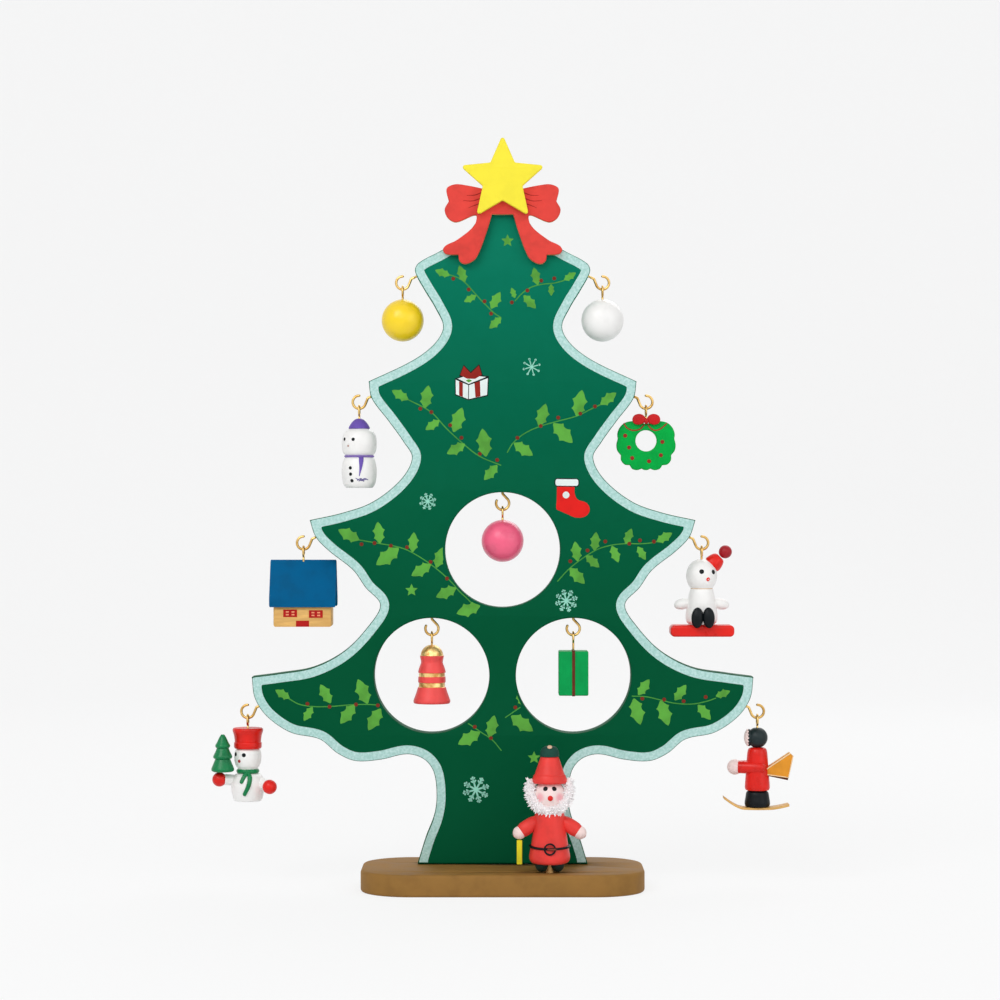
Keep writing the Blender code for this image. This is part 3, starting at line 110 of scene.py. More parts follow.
# Tree board
TREE_HEIGHT = 0.2797
TREE_HALF_WIDTH = 0.1037
FOOT_Z = BASE_THICKNESS + GAP
BOARD_THICKNESS = 0.012
BOARD_EDGE_ROUND = 0.0007
BOARD_FRONT = TREE_Y - BOARD_THICKNESS / 2
HOLE_DIAMETER = 0.0477
HOLE_STEPS = 96
HOLE_SHARES = [(0.0, 0.464), (-0.283, 0.278), (0.283, 0.278)]
TREE_OUTLINE_SHARES = [
    (0.000, 1.000), (0.036, 0.994), (0.080, 0.963), (0.151, 0.928), (0.247, 0.906),
    (0.335, 0.888), (0.349, 0.876), (0.315, 0.851), (0.271, 0.824), (0.237, 0.794),
    (0.271, 0.769), (0.359, 0.744), (0.534, 0.713, CORNER),
    (0.522, 0.688), (0.456, 0.655), (0.394, 0.623), (0.361, 0.600),
    (0.406, 0.568), (0.518, 0.535), (0.637, 0.519), (0.769, 0.508, CORNER),
    (0.745, 0.483), (0.691, 0.462), (0.596, 0.434), (0.546, 0.408), (0.488, 0.383),
    (0.534, 0.352), (0.633, 0.314), (0.757, 0.290), (0.896, 0.281), (1.000, 0.276, CORNER),
    (0.988, 0.245), (0.940, 0.218), (0.845, 0.194), (0.729, 0.184),
    (0.657, 0.163), (0.586, 0.152), (0.486, 0.154), (0.382, 0.162), (0.315, 0.155),
    (0.275, 0.136), (0.263, 0.099), (0.275, 0.069), (0.307, 0.038), (0.339, 0.000, CORNER),
]

# Printed border and motifs
BORDER_MARGIN = 0.0003
BORDER_WIDTH = 0.0034
BORDER_SOFTENING = (0.0003, 0.0004)
BORDER_SPACING = 0.00025
BORDER_RELIEF = 0.00012
INK_RELIEF = 0.00004
INK_SINK = 0.00010
# Levels are the reliefs of prints that lie over others, as multiples of INK_RELIEF
LEAF_LEVEL = 1.25
BERRY_LEVEL = 1.6
OUTLINE_LEVEL = 1.3
CUFF_LEVEL = 1.8
PARCEL_LEVELS = {"dark_ink": 1.0, "white_ink": 1.6, "brown_ink": 2.2, "leaf_ink": 2.6}
STEM_WIDTH = 0.00044
BERRY_RADIUS = 0.00080
BERRY_STEPS = 16
LEAF_STEPS = 4
LEAF_WIDTH_SHARE = 0.62
LEAF_SHARES = [
    (0.00, 0.05), (0.10, 0.17), (0.20, 0.30), (0.25, 0.42, CORNER), (0.36, 0.31), (0.48, 0.34),
    (0.60, 0.47, CORNER), (0.69, 0.31), (0.81, 0.22), (0.91, 0.13), (1.00, 0.00, CORNER),
]
HOLE_MARGIN = 0.0009
STAR_PRINT_RADIUS = 0.0027
STAR_INNER_SHARE = 0.465
SNOWFLAKE_ARMS = 8
SNOWFLAKE_TURN_SHARE = 0.35
SNOWFLAKE_MIDDLE_SHARE = 0.17
SNOWFLAKE_ARM_SHARE = 0.13
SNOWFLAKE_TIP_SHARE = 0.15
SNOWFLAKE_BARB_SHARES = ((0.52, 0.26), (0.76, 0.22))
SNOWFLAKE_BARB_ANGLE = math.radians(48)
SNOWFLAKE_BARB_WIDTH_SHARE = 0.11
TIP_STEPS = 12

# Star and bow
STAR_RADIUS = 0.0185
STAR_TIP_ROUND = 0.0009
STAR_THICKNESS = 0.003
STAR_HEIGHT_SHARE = 1.009
BOW_HALF_WIDTH = 0.0246
BOW_HEIGHT = 0.0318
BOW_THICKNESS = 0.003
BOW_TOP_SHARE = 0.9926
PLATE_EDGE_ROUND = 0.0005
BOW_OUTLINE_SHARES = [
    (0.000, 0.000), (0.600, 0.078), (0.800, 0.092), (0.938, 0.036), (0.903, -0.130, CORNER),
    (0.972, -0.238), (0.912, -0.351), (0.775, -0.400), (0.450, -0.310), (0.475, -0.440),
    (0.764, -0.628), (0.950, -0.700), (1.000, -0.757), (0.950, -0.812), (0.742, -0.822, CORNER),
    (0.722, -0.900), (0.650, -0.940), (0.540, -0.922), (0.428, -0.845), (0.268, -0.530),
    (0.178, -0.298, CORNER), (0.000, -0.300),
]
CREASE_WIDTH = 0.00042
CREASE_END_WIDTH = CREASE_WIDTH / 3
BOW_CREASE_SHARES = [
    [(0.36, -0.02), (0.47, -0.05), (0.60, -0.055)],
    [(0.36, -0.09), (0.50, -0.125), (0.66, -0.120)],
    [(0.36, -0.155), (0.46, -0.180), (0.57, -0.215)],
]

# Hooks
HOOK_WIRE = 0.0011
HOOK_RADIUS = 0.0027
HOOK_SHANK = 0.0108
HOOK_DROP = 0.0046
HOOK_LEAN = math.radians(65)
HOOK_START_SHARE = 50 / 360
HOOK_SWEEP_SHARE = 255 / 360
HOOK_BEND_SHARE = 1.45
HOOK_NAMES = ["left_1", "right_1", "left_2", "right_2", "left_3", "right_3", "left_4", "right_4",
              "hole_top", "hole_left", "hole_right"]
SIDE_HOOK_SHARES = [(0.400, 0.860), (0.574, 0.683), (0.797, 0.474), (1.020, 0.224)]
SHANK_STEPS = 48
HOOK_STEPS = 14
THREAD_START = 0.0052
THREAD_PITCH = 0.0006
THREAD_DEPTH_SHARE = 0.13

# Screw eyes
EYE_WIRE = 0.0009
EYE_RADIUS = 0.00215
EYE_NECK = 0.0007
EYE_DROP = EYE_RADIUS - EYE_WIRE / 2 - HOOK_WIRE / 2 - GAP
EYE_START_SHARE = -62 / 360
EYE_SWEEP_SHARE = 304 / 360
EYE_BEND_SHARE = 1.22
EYE_SCREW = 0.0010
ARC_STEPS = 14

# Balls
BALL_DIAMETER = 0.0175
BALL_STEPS = 44

# Bell
BELL_DIAMETER = 0.0156
BELL_HEIGHT = 0.0242
BELL_PROFILE_SHARES = [
    (0.20, 0.000), (0.40, -0.040), (0.55, -0.105), (0.61, -0.175, CORNER), (0.635, -0.185),
    (0.63, -0.205),
    (0.58, -0.285), (0.59, -0.310), (0.67, -0.380), (0.735, -0.455), (0.735, -0.470, CORNER),
    (0.69, -0.478, CORNER), (0.69, -0.535, CORNER), (0.725, -0.545), (0.735, -0.635, CORNER),
    (0.69, -0.648, CORNER), (0.70, -0.712, CORNER), (0.745, -0.725), (0.82, -0.800), (0.93, -0.900),
    (0.985, -0.955), (0.97, -0.985), (0.92, -1.000), (0.70, -0.970), (0.00, -0.955),
]
BELL_GOLD_SHARES = [(0.0, -0.180), (-0.474, -0.539), (-0.642, -0.718)]

# Small snowman
SNOWMAN_DIAMETER = 0.0145
SNOWMAN_HEIGHT = 0.0245
SNOWMAN_PROFILE_SHARES = [
    (0.56, 0.000), (0.84, -0.060), (0.98, -0.160), (1.00, -0.290), (0.95, -0.385),
    (0.85, -0.435), (0.80, -0.445), (0.80, -0.490), (0.85, -0.500), (0.94, -0.560),
    (1.00, -0.680), (1.00, -0.800), (0.93, -0.920), (0.82, -0.980), (0.74, -1.000, CORNER),
    (0.00, -1.000),
]
SNOWMAN_NECK_SHARE = -0.4675
SNOWMAN_HAT_DIAMETER = 0.0089
SNOWMAN_HAT_HEIGHT = 0.0042
SNOWMAN_HAT_SHARES = [(0.20, 0.0), (0.42, -0.10), (0.75, -0.45), (1.0, -0.92), (0.96, -1.0, CORNER)]
SNOWMAN_EYES = [(-0.0059, -0.0044), (-0.0022, -0.0045)]
SNOWMAN_NOSE = (-0.0043, -0.0072)
SNOWMAN_BUTTONS = [(-0.0034, -0.0163), (-0.0033, -0.0189), (-0.0027, -0.0216)]
SNOWMAN_SCARF_SECTION = (0.0010, 0.0009)
SNOWMAN_TAIL_STAND_OFF = 0.0001
SNOWMAN_TAIL_FLATNESS = 0.25
SNOWMAN_TAIL = [(0.0010, -0.0118), (0.0011, -0.0136), (0.0010, -0.0156), (0.0007, -0.0178),
                (0.0004, -0.0196)]
SNOWMAN_TAIL_WIDTHS = (0.0021, 0.0019, 0.0013, 0.0007, 0.0003)
SNOWMAN_SCRIBBLES = [
    [(-0.0010, -0.0206), (0.0000, -0.0211), (0.0010, -0.0207), (0.0020, -0.0213), (0.0033, -0.0209)],
    [(-0.0004, -0.0214), (0.0006, -0.0209), (0.0014, -0.0216), (0.0024, -0.0207), (0.0038, -0.0212)],
    [(0.0002, -0.0217), (0.0012, -0.0213), (0.0022, -0.0218)],
]
SCRIBBLE_RADIUS = 0.00020
SCRIBBLE_STEPS = 8
EYE_DOT_RADIUS = 0.00072
NOSE_DOT_RADIUS = 0.00045
BUTTON_RADIUS = 0.00072

# Gift
GIFT_WIDTH = 0.0123
GIFT_DEPTH = 0.0120
GIFT_HEIGHT = 0.0184
GIFT_EDGE_ROUND = 0.0006
GIFT_NECK = 0.0022
RIBBON_WIDTH = 0.0012
RIBBON_THICKNESS = 0.0005
RIBBON_STAND_OFF = 0.00025
RIBBON_EDGE_ROUND = RIBBON_STAND_OFF / 3
RIBBON_CORNER_RADIUS = 1.5 * GIFT_EDGE_ROUND

# Wreath
WREATH_HALF_WIDTH = 0.01225
WREATH_HEIGHT = 0.0203
WREATH_THICKNESS = 0.0040
WREATH_EDGE_ROUND = 0.0006
WREATH_HOLE_DIAMETER = 0.0088
WREATH_HOLE_SHARE = 0.60
WREATH_HOLE_STEPS = 64
WREATH_NECK = 0.0030
WREATH_NOTCH_SHARE = 0.940
WREATH_OUTLINE_SHARES = [
    (0.00, WREATH_NOTCH_SHARE, CORNER), (0.24, 0.985), (0.50, 1.000), (0.74, 0.960), (0.90, 0.860),
    (0.97, 0.740), (0.955, 0.640, CORNER), (1.00, 0.520), (0.97, 0.400), (0.85, 0.305, CORNER),
    (0.84, 0.200), (0.72, 0.115), (0.55, 0.100, CORNER), (0.46, 0.025), (0.30, 0.000),
    (0.14, 0.030, CORNER), (0.07, 0.005), (0.00, 0.000),
]
WREATH_BERRIES = [(-0.0087, 0.0021), (-0.0071, -0.0028), (-0.0058, -0.0072), (0.0012, -0.0085),
                  (0.0061, -0.0060), (0.0067, -0.0005)]
WREATH_BERRY_RADIUS = 0.00085
WREATH_BERRY_HEIGHT = 0.00018
WREATH_GARLANDS = [
    [(-0.0093, 0.0073), (-0.0079, 0.0053), (-0.0055, 0.0043), (-0.0026, 0.0048), (-0.0008, 0.0066)],
    [(0.0008, 0.0066), (0.0018, 0.0052), (0.0036, 0.0043), (0.0060, 0.0050), (0.0087, 0.0073)],
]
GARLAND_WIDTH = 0.00055
GARLAND_RELIEF = 0.00010
WREATH_BOW_HALF_WIDTH = 0.0058
WREATH_BOW_HEIGHT = 0.0045
WREATH_BOW_THICKNESS = 0.0015
WREATH_BOW_OVERLAP = 0.0015
WREATH_BOW_SHARES = [
    (0.00, 0.52, CORNER), (0.20, 0.86), (0.50, 1.00), (0.86, 0.86), (1.00, 0.50),
    (0.90, 0.14), (0.58, 0.00), (0.26, 0.10), (0.00, 0.30, CORNER),
]
WREATH_KNOT_SIZE = (0.0021, 0.0018, 0.0024)

# House
HOUSE_WIDTH = 0.0241
HOUSE_DEPTH = 0.0130
HOUSE_WALL_HEIGHT = 0.0106
ROOF_WIDTH = 0.0275
ROOF_RISE = 0.0155
ROOF_OVERHANG = 0.0014
ROOF_THICKNESS = 0.0018
HOUSE_EDGE_ROUND = 0.0004
HOUSE_NECK = 0.0008
WINDOW_PLACES = [(-0.0051, 0.0056), (0.0055, 0.0053)]
WINDOW_SIZE = (0.0057, 0.0031)
WINDOW_PANE_SIZE = (0.00120, 0.00058)
WINDOW_PANE_SPACING = (0.00235, 0.00115)
WALL_CORNER_ROUND = 0.0009
DOOR_SIZE = (0.0054, 0.0025)
DOOR_PLACE = (0.0, 0.0013)
FRAME_RELIEF = 0.00012
PANE_RELIEF = 0.00015

# Snowman with a little tree
TREEMAN_DIAMETER = 0.0140
TREEMAN_HEIGHT = 0.0218
TREEMAN_PROFILE_SHARES = [
    (0.62, 0.000), (0.76, -0.050), (0.80, -0.130), (0.79, -0.230), (0.70, -0.330),
    (0.58, -0.385), (0.58, -0.470), (0.74, -0.490), (0.90, -0.550), (1.00, -0.670),
    (0.97, -0.800), (0.88, -0.930), (0.82, -0.985), (0.76, -1.000, CORNER), (0.00, -1.000),
]
TREEMAN_NECK_SHARE = -0.430
TREEMAN_HAT_DIAMETER = 0.0126
TREEMAN_HAT_HEIGHT = 0.0085
TREEMAN_HAT_SHARES = [
    (0.00, -0.02), (0.80, -0.01), (0.93, 0.00), (1.00, -0.06), (1.00, -0.15), (0.93, -0.32),
    (0.88, -0.52), (0.865, -0.655), (0.855, -0.675, CORNER), (0.90, -0.70), (0.915, -0.80), (0.91, -0.93),
    (0.86, -1.00),
]
TREEMAN_SCARF_SECTION = (0.0013, 0.0018)
TREEMAN_SCARF_SLACK = 0.0002
TREEMAN_TAIL_STAND_OFF = 0.0003
TREEMAN_TAIL_FLATNESS = 0.6
TREEMAN_EYES = [(-0.0048, -0.0022), (-0.0012, -0.0024)]
TREEMAN_EYE_RADIUS = 0.00086
TREEMAN_MOUTH = (-0.0032, -0.0050)
TREEMAN_MOUTH_RADIUS = 0.00070
TREEMAN_ARM_DIAMETER = 0.0046
TREEMAN_ARM_LENGTH = 0.0060
TREEMAN_MITTEN_DIAMETER = 0.0060
TREEMAN_SHOULDER_SHARE = -0.61
TREEMAN_SHOULDER_INSET_SHARE = 0.5
# The left and the right arm, each by how far it is tilted out from straight down and swung forward
TREEMAN_ARM_ANGLES = ((math.radians(94), math.radians(15)), (math.radians(75), math.radians(42)))
TREEMAN_SCARF_TAIL = 0.0090
TREEMAN_TAIL_WIDTHS = (0.0014, 0.0019, 0.0018, 0.0016)
TREEMAN_TAIL_SHARES = [
    [(0.02, 0.00), (-0.10, -0.20), (-0.22, -0.45)],
    [(0.02, 0.00), (0.14, -0.25), (0.10, -0.60), (-0.08, -1.00)],
]
LITTLE_TREE_OFFSET = 0.0101
LITTLE_TREE_FORWARD = 0.0036
LITTLE_TREE_DIAMETER = 0.0094
LITTLE_TREE_HEIGHT = 0.0155
LITTLE_TREE_SHARES = [
    (0.14, -0.005), (0.30, -0.08), (0.52, -0.22), (0.66, -0.30), (0.62, -0.345), (0.52, -0.37, CORNER),
    (0.66, -0.47), (0.84, -0.59), (0.80, -0.635), (0.66, -0.66, CORNER), (0.82, -0.78), (1.00, -0.92),
    (0.98, -0.97), (0.84, -1.00, CORNER), (0.00, -1.00),
]

# Arms
LIMB_TAPER_SHARES = (0.80, 0.96, 1.00, 1.00)
CUT_WRIST_SHARE = 0.6

# Soldier
SOLDIER_HEAD_DIAMETER = 0.0086
SOLDIER_HEAD_HEIGHT = 0.0081
SOLDIER_BODY_DIAMETER = 0.0104
SOLDIER_BODY_HEIGHT = 0.0177
SOLDIER_BODY_SHARES = [
    (0.50, 0.00), (0.68, -0.025), (0.77, -0.08), (0.82, -0.18), (0.87, -0.40), (0.96, -0.75), (1.00, -0.92),
    (0.98, -0.965), (0.92, -1.00, CORNER), (0.00, -1.00),
]
SOLDIER_ARM_DIAMETER = 0.0053
SOLDIER_ARM_LENGTH = 0.0103
SOLDIER_ARM_SHARE = -0.46
SOLDIER_ARM_TAPER_SHARES = [0.88, 0.98, 1.00, 0.98, 1.00]
SOLDIER_SHOULDER_BACK = 0.0009
SOLDIER_SHOULDER_OUT = 0.0034
SOLDIER_FACE_DEPTH = 0.0030
SOLDIER_FACE_WIDTH = 0.0056
SOLDIER_FACE_HEIGHT = 0.0062
SOLDIER_FACE_SHARE = 0.47
SOLDIER_BRIM_SHARE = 0.395
SOLDIER_BRIM_SECTION = 0.0014
SOLDIER_BRIM_SIZE_SHARE = 0.93
BRIM_STEPS = 40
BRIM_SECTION_STEPS = 16
SOLDIER_BEADS = 14
SOLDIER_BEAD_DIAMETER = 0.0010
SOLDIER_BEAD_SHARE = 0.47
BEAD_STEPS = 14
SOLDIER_HAND_DIAMETER = 0.0064
SOLDIER_HAND_SEAT_SHARE = 0.08
SOLDIER_BOOT_DIAMETER = 0.0106
SOLDIER_BOOT_HEIGHT = 0.0064
SOLDIER_BOOT_SHARES = [
    (0.72, 0.00), (0.86, -0.10), (0.93, -0.40), (1.00, -0.83), (0.94, -1.00, CORNER), (0.00, -1.00),
]
PACK_REACH = 0.0112
PACK_START = 0.0034
PACK_HEIGHT = 0.0112
PACK_THICKNESS = 0.0050
PACK_BOTTOM_SHARE = -0.76
PACK_OUTLINE_SHARES = [(0.00, 0.40), (0.90, 1.00), (1.00, 0.90), (0.83, 0.10), (0.00, 0.215)]
# The dark band under the pack's gold face is painted shade, standing in for its shaded underside
PACK_PAINTED_SHADE_SHARES = [(0.00, 0.215), (0.83, 0.10), (0.81, 0.00), (0.00, 0.17)]
PACK_RIM = 0.0005
PACK_RIM_STEPS = 10
PACK_EDGE_ROUND = 0.0003
ROCKER_LENGTH = 0.0270
ROCKER_RISE = 0.0044
ROCKER_THICKNESS = 0.0009
ROCKER_WIDTH = 0.0080
ROCKER_EDGE_ROUND = 0.0002
ROCKER_LINE_SHARES = [
    (-0.52, 1.00), (-0.40, 0.48), (-0.29, 0.12), (-0.20, 0.00), (0.20, 0.00), (0.34, 0.12), (0.48, 0.32),
]

# Sled doll
DOLL_HEAD_DIAMETER = 0.0129
DOLL_HEIGHT = 0.0268
DOLL_PROFILE_SHARES = [
    (0.26, 0.000), (0.62, -0.045), (0.90, -0.135), (1.00, -0.240), (0.93, -0.350),
    (0.76, -0.430), (0.68, -0.450, CORNER), (0.76, -0.475), (0.86, -0.600), (0.97, -0.760),
    (1.03, -0.870), (0.98, -0.960), (0.84, -1.000, CORNER), (0.00, -1.000),
]
DOLL_NECK_SHARE = -0.450
DOLL_NECK_SECTION = (0.0004, 0.0004)
DOLL_EYES = [(-0.0004, -0.0049), (0.0046, -0.0051)]
DOLL_EYE_RADIUS = 0.00098
DOLL_MOUTH = (0.0023, -0.0081)
DOLL_MOUTH_RADIUS = 0.00082
GLINT_RADIUS = DOLL_MOUTH_RADIUS * 0.35
GLINT_HEIGHT = DOLL_MOUTH_RADIUS * 0.4
DOLL_ARM_DIAMETER = 0.0046
DOLL_ARM_LENGTH = 0.0072
DOLL_SHOULDER_SHARE = -0.69
DOLL_ARM_OFFSET = 0.0079
DOLL_ARM_TILT = math.radians(12)
DOLL_BOOT_WIDTH = 0.0050
DOLL_BOOT_HEIGHT = 0.0086
DOLL_BOOT_DEPTH = 0.0036
DOLL_BOOT_SPLAY = math.radians(3)
DOLL_BOOT_DROP = 0.0014
DOLL_BOOT_SPREAD_SHARE = 0.47
DOLL_BOOT_LEVEL_SHARE = 0.33
SLED_LENGTH = 0.0264
SLED_DEPTH = 0.0122
SLED_THICKNESS = 0.0048
SLED_CORNER_RADIUS = 0.0018
SLED_EDGE_ROUND = 0.0009
CAP_DIAMETER = 0.0074
CAP_HEIGHT = 0.0052
CAP_TILT = math.radians(46)
CAP_SETBACK = 0.0010
CAP_ROOT_SHARE = 0.86
CAP_SHARES = [(0.50, 0.0), (0.68, -0.08), (0.88, -0.36), (1.0, -0.72), (0.98, -0.90), (0.90, -1.0)]
CAP_POMPOM_DIAMETER = 0.0055

# Santa
SANTA_X = 0.019
SANTA_Y = -0.0215
PEG_DIAMETER = 0.0031
PEG_LENGTH = 0.0115
PEG_SEAT = 0.0060
SANTA_BOOT_OFFSET = 0.0032
SANTA_BOOT_SIZE = (0.0056, 0.0078, 0.0031)
SANTA_BOOT_HEIGHT = 0.0031
COAT_DIAMETER = 0.0166
COAT_HEIGHT = 0.0222
COAT_PROFILE_SHARES = [
    (0.52, 0.00), (0.66, -0.025), (0.71, -0.08), (0.76, -0.25), (0.86, -0.55), (0.96, -0.77),
    (1.00, -0.86), (0.98, -0.925), (0.90, -0.975), (0.76, -1.00, CORNER), (0.00, -1.00),
]
BELT_SHARE = -0.68
BELT_HEIGHT = 0.0010
BELT_THICKNESS = 0.0007
BELT_SAG = 0.0005
BUCKLE_DIAMETER = 0.0043
BUCKLE_WIRE = 0.0007
BUCKLE_STEPS = 28
TONGUE_SHARES = (-0.15, 0.5)
TONGUE_RADIUS = BUCKLE_WIRE / 1.8
SANTA_HEAD_DIAMETER = 0.0130
SANTA_HEAD_HEIGHT = 0.0100
SANTA_EYES = [(-0.0018, 0.0032), (0.0018, 0.0032)]
SANTA_EYE_RADIUS = 0.00098
SANTA_NOSE = (0.0002, -0.0006)
SANTA_NOSE_RADIUS = 0.0011
SANTA_CHEEK = (0.0040, -0.0003)
SANTA_HAT_DIAMETER = 0.0144
SANTA_HAT_HEIGHT = 0.0108
SANTA_HAT_SHARES = [
    (0.46, 0.00), (0.52, -0.05), (0.68, -0.36), (0.835, -0.66), (0.838, -0.675, CORNER), (0.875, -0.685),
    (0.93, -0.76), (0.985, -0.90), (0.985, -0.95), (0.92, -1.00, CORNER), (0.00, -1.00),
]
POMPOM_DIAMETER = 0.0078
POMPOM_HEIGHT = 0.0043
POMPOM_SQUARENESS = 0.72
POMPOM_RISES = 16
POMPOM_PLUG_RADIUS = 0.0010
POMPOM_PLUG_HEIGHT = 0.0006
POMPOM_PLUG_RISE = math.radians(62)
SLEEVE_DIAMETER = 0.0060
SLEEVE_LENGTH = 0.0070
SLEEVE_TILT = math.radians(56)
SLEEVE_FORWARD = math.radians(10)
SLEEVE_TAPER_SHARES = [0.62, 0.86, 0.96, 1.00, 1.00]
SANTA_SHOULDER_SHARE = -0.20
SANTA_SHOULDER_INSET_SHARE = 0.75
HAND_DIAMETER = 0.0054
HAND_BORE_RADIUS = 0.0006
HAND_BORE_DEPTH = 0.0001
HAND_SEAT_SHARE = 0.42
STICK_WIDTH = 0.0022
STICK_LENGTH = 0.0098
STICK_DEPTH = 0.0022
STICK_EDGE_ROUND = 0.0003
BEARD_SPREAD = 0.0083
BEARD_DROP = 0.0058
BEARD_REACH = 0.0046
BEARD_CORE_RADIUS = 0.0019
BEARD_STEPS = 20
BEARD_PATH_SHARES = [
    (-0.93, -0.15, 0.88), (-0.94, -0.28, 0.40), (-0.86, -0.55, -0.12), (-0.66, -0.80, -0.58),
    (-0.38, -0.95, -0.88), (0.00, -1.00, -1.00), (0.38, -0.95, -0.88), (0.66, -0.80, -0.58),
    (0.86, -0.55, -0.12), (0.94, -0.28, 0.40), (0.93, -0.15, 0.88),
]
BEARD_TAPER_SHARES = [0.90, 1.00, 1.00, 1.00, 1.00, 1.00, 1.00, 1.00, 1.00, 1.00, 0.90]
TUFT_COUNT = 760
TUFT_ROOT_SHARE = 0.72
TUFT_LENGTH = (0.0010, 0.0018)
TUFT_RADIUS = 0.00036
TUFT_SHARES = [1.0, 1.0, 0.85, 0.6, 0.2]
TUFT_DROOP = 0.25
TUFT_LEAN = 0.6
END_TUFT_LEAN = 2.5
TUFT_MIDDLE_BEND_SHARE = 0.4
TUFT_STEPS = 6
TUFT_BEND_SHARE = 0.22

# Finishes: colour as displayed, roughness, shine, coat, drift of the colour and depth of the brush
# marks
PAINTS = {
    "stand_brown": ((154, 114, 60), 0.58, 0.10, 0.0, 0.05, 0.00003),
    "bow_red": ((226, 72, 64), 0.55, 0.08, 0.0, 0.06, 0.00004),
    "star_yellow": ((250, 234, 66), 0.55, 0.08, 0.0, 0.02, 0.00003),
    "yellow_paint": ((255, 218, 34), 0.30, 0.25, 0.35, 0.03, 0.00002),
    "white_paint": ((249, 248, 246), 0.30, 0.20, 0.20, 0.01, 0.00002),
    "pink_paint": ((248, 100, 136), 0.30, 0.25, 0.35, 0.04, 0.00002),
    "red_paint": ((228, 32, 22), 0.30, 0.22, 0.10, 0.06, 0.00002),
    "santa_red": ((238, 66, 60), 0.38, 0.16, 0.08, 0.05, 0.00003),
    "bell_red": ((244, 84, 82), 0.38, 0.16, 0.10, 0.05, 0.00003),
    "black_paint": ((12, 18, 22), 0.36, 0.16, 0.0, 0.15, 0.00002),
    "helmet_black": ((34, 46, 48), 0.40, 0.18, 0.04, 0.12, 0.00003),
    "boot_green": ((36, 60, 54), 0.45, 0.10, 0.0, 0.12, 0.00003),
    "purple_paint": ((110, 86, 176), 0.45, 0.12, 0.0, 0.06, 0.00003),
    "gift_green": ((0, 160, 80), 0.42, 0.10, 0.03, 0.05, 0.00003),
    "ribbon_red": ((104, 50, 36), 0.50, 0.08, 0.0, 0.12, 0.00003),
    "wreath_green": ((0, 170, 68), 0.45, 0.08, 0.0, 0.04, 0.00003),
    "wreath_red": ((196, 26, 28), 0.38, 0.15, 0.06, 0.08, 0.00003),
    "roof_blue": ((0, 92, 140), 0.58, 0.05, 0.0, 0.05, 0.00004),
    "scarf_green": ((0, 124, 70), 0.30, 0.24, 0.12, 0.07, 0.00002),
    "hand_paint": ((253, 226, 222), 0.42, 0.15, 0.04, 0.04, 0.00002),
    "gold_paint": ((226, 150, 48), 0.50, 0.12, 0.0, 0.10, 0.00004),
    "dark_red_paint": ((164, 26, 36), 0.34, 0.20, 0.08, 0.08, 0.00002),
    "pompom_green": ((30, 70, 60), 0.50, 0.10, 0.0, 0.12, 0.00003),
    "stick_yellow": ((226, 212, 44), 0.50, 0.08, 0.0, 0.05, 0.00003),
    "buckle_brown": ((132, 62, 48), 0.45, 0.15, 0.0, 0.10, 0.00002),
    "plug_wood": ((226, 188, 158), 0.60, 0.08, 0.0, 0.10, 0.00004),
    "bore_pink": ((214, 150, 146), 0.60, 0.08, 0.0, 0.10, 0.00002),
    "scarf_lilac": ((142, 118, 194), 0.45, 0.12, 0.0, 0.08, 0.00003),
    "leaf_ink": ((94, 169, 66), 0.55, 0.08, 0.0, 0.10, 0.00001),
    "stem_ink": ((72, 150, 62), 0.55, 0.08, 0.0, 0.08, 0.00001),
    "berry_ink": ((124, 48, 34), 0.55, 0.08, 0.0, 0.08, 0.00001),
    "mint_ink": ((150, 216, 196), 0.55, 0.08, 0.0, 0.05, 0.00001),
    "white_ink": ((230, 240, 238), 0.55, 0.08, 0.0, 0.03, 0.00001),
    "red_ink": ((228, 34, 30), 0.50, 0.10, 0.0, 0.04, 0.00001),
    "berry_red": ((150, 42, 34), 0.45, 0.12, 0.0, 0.06, 0.00001),
    "garland_red": ((158, 62, 42), 0.50, 0.10, 0.0, 0.08, 0.00001),
    "window_red": ((182, 30, 28), 0.50, 0.10, 0.0, 0.06, 0.00001),
    "pane_pink": ((242, 160, 118), 0.50, 0.10, 0.0, 0.06, 0.00001),
    # Painted shade: the dark brown band under the soldier's pack
    "pack_painted_shade": ((92, 46, 22), 0.60, 0.08, 0.0, 0.12, 0.00002),
    "pale_edge": ((252, 222, 176), 0.50, 0.10, 0.0, 0.06, 0.00002),
    "brown_ink": ((150, 40, 32), 0.55, 0.08, 0.0, 0.06, 0.00001),
    "dark_ink": ((18, 30, 30), 0.55, 0.08, 0.0, 0.10, 0.00001),
    "scribble_ink": ((112, 104, 158), 0.55, 0.10, 0.0, 0.15, 0.00001),
    "neck_ink": ((222, 190, 156), 0.55, 0.10, 0.0, 0.10, 0.00001),
    "nose_ink": ((176, 136, 122), 0.50, 0.10, 0.0, 0.06, 0.00001),
    "crease_red": ((150, 34, 32), 0.60, 0.06, 0.0, 0.08, 0.00001),
    "beard_white": ((254, 252, 253), 0.85, 0.05, 0.0, 0.01, 0.00001),
    # Painted shade: the greyer white of the beard's core, deep between the tufts
    "beard_painted_shade": ((240, 233, 234), 0.90, 0.05, 0.0, 0.03, 0.00001),
    "cut_edge": ((228, 176, 106), 0.65, 0.10, 0.0, 0.12, 0.00005),
}
COAT_ROUGHNESS = 0.26
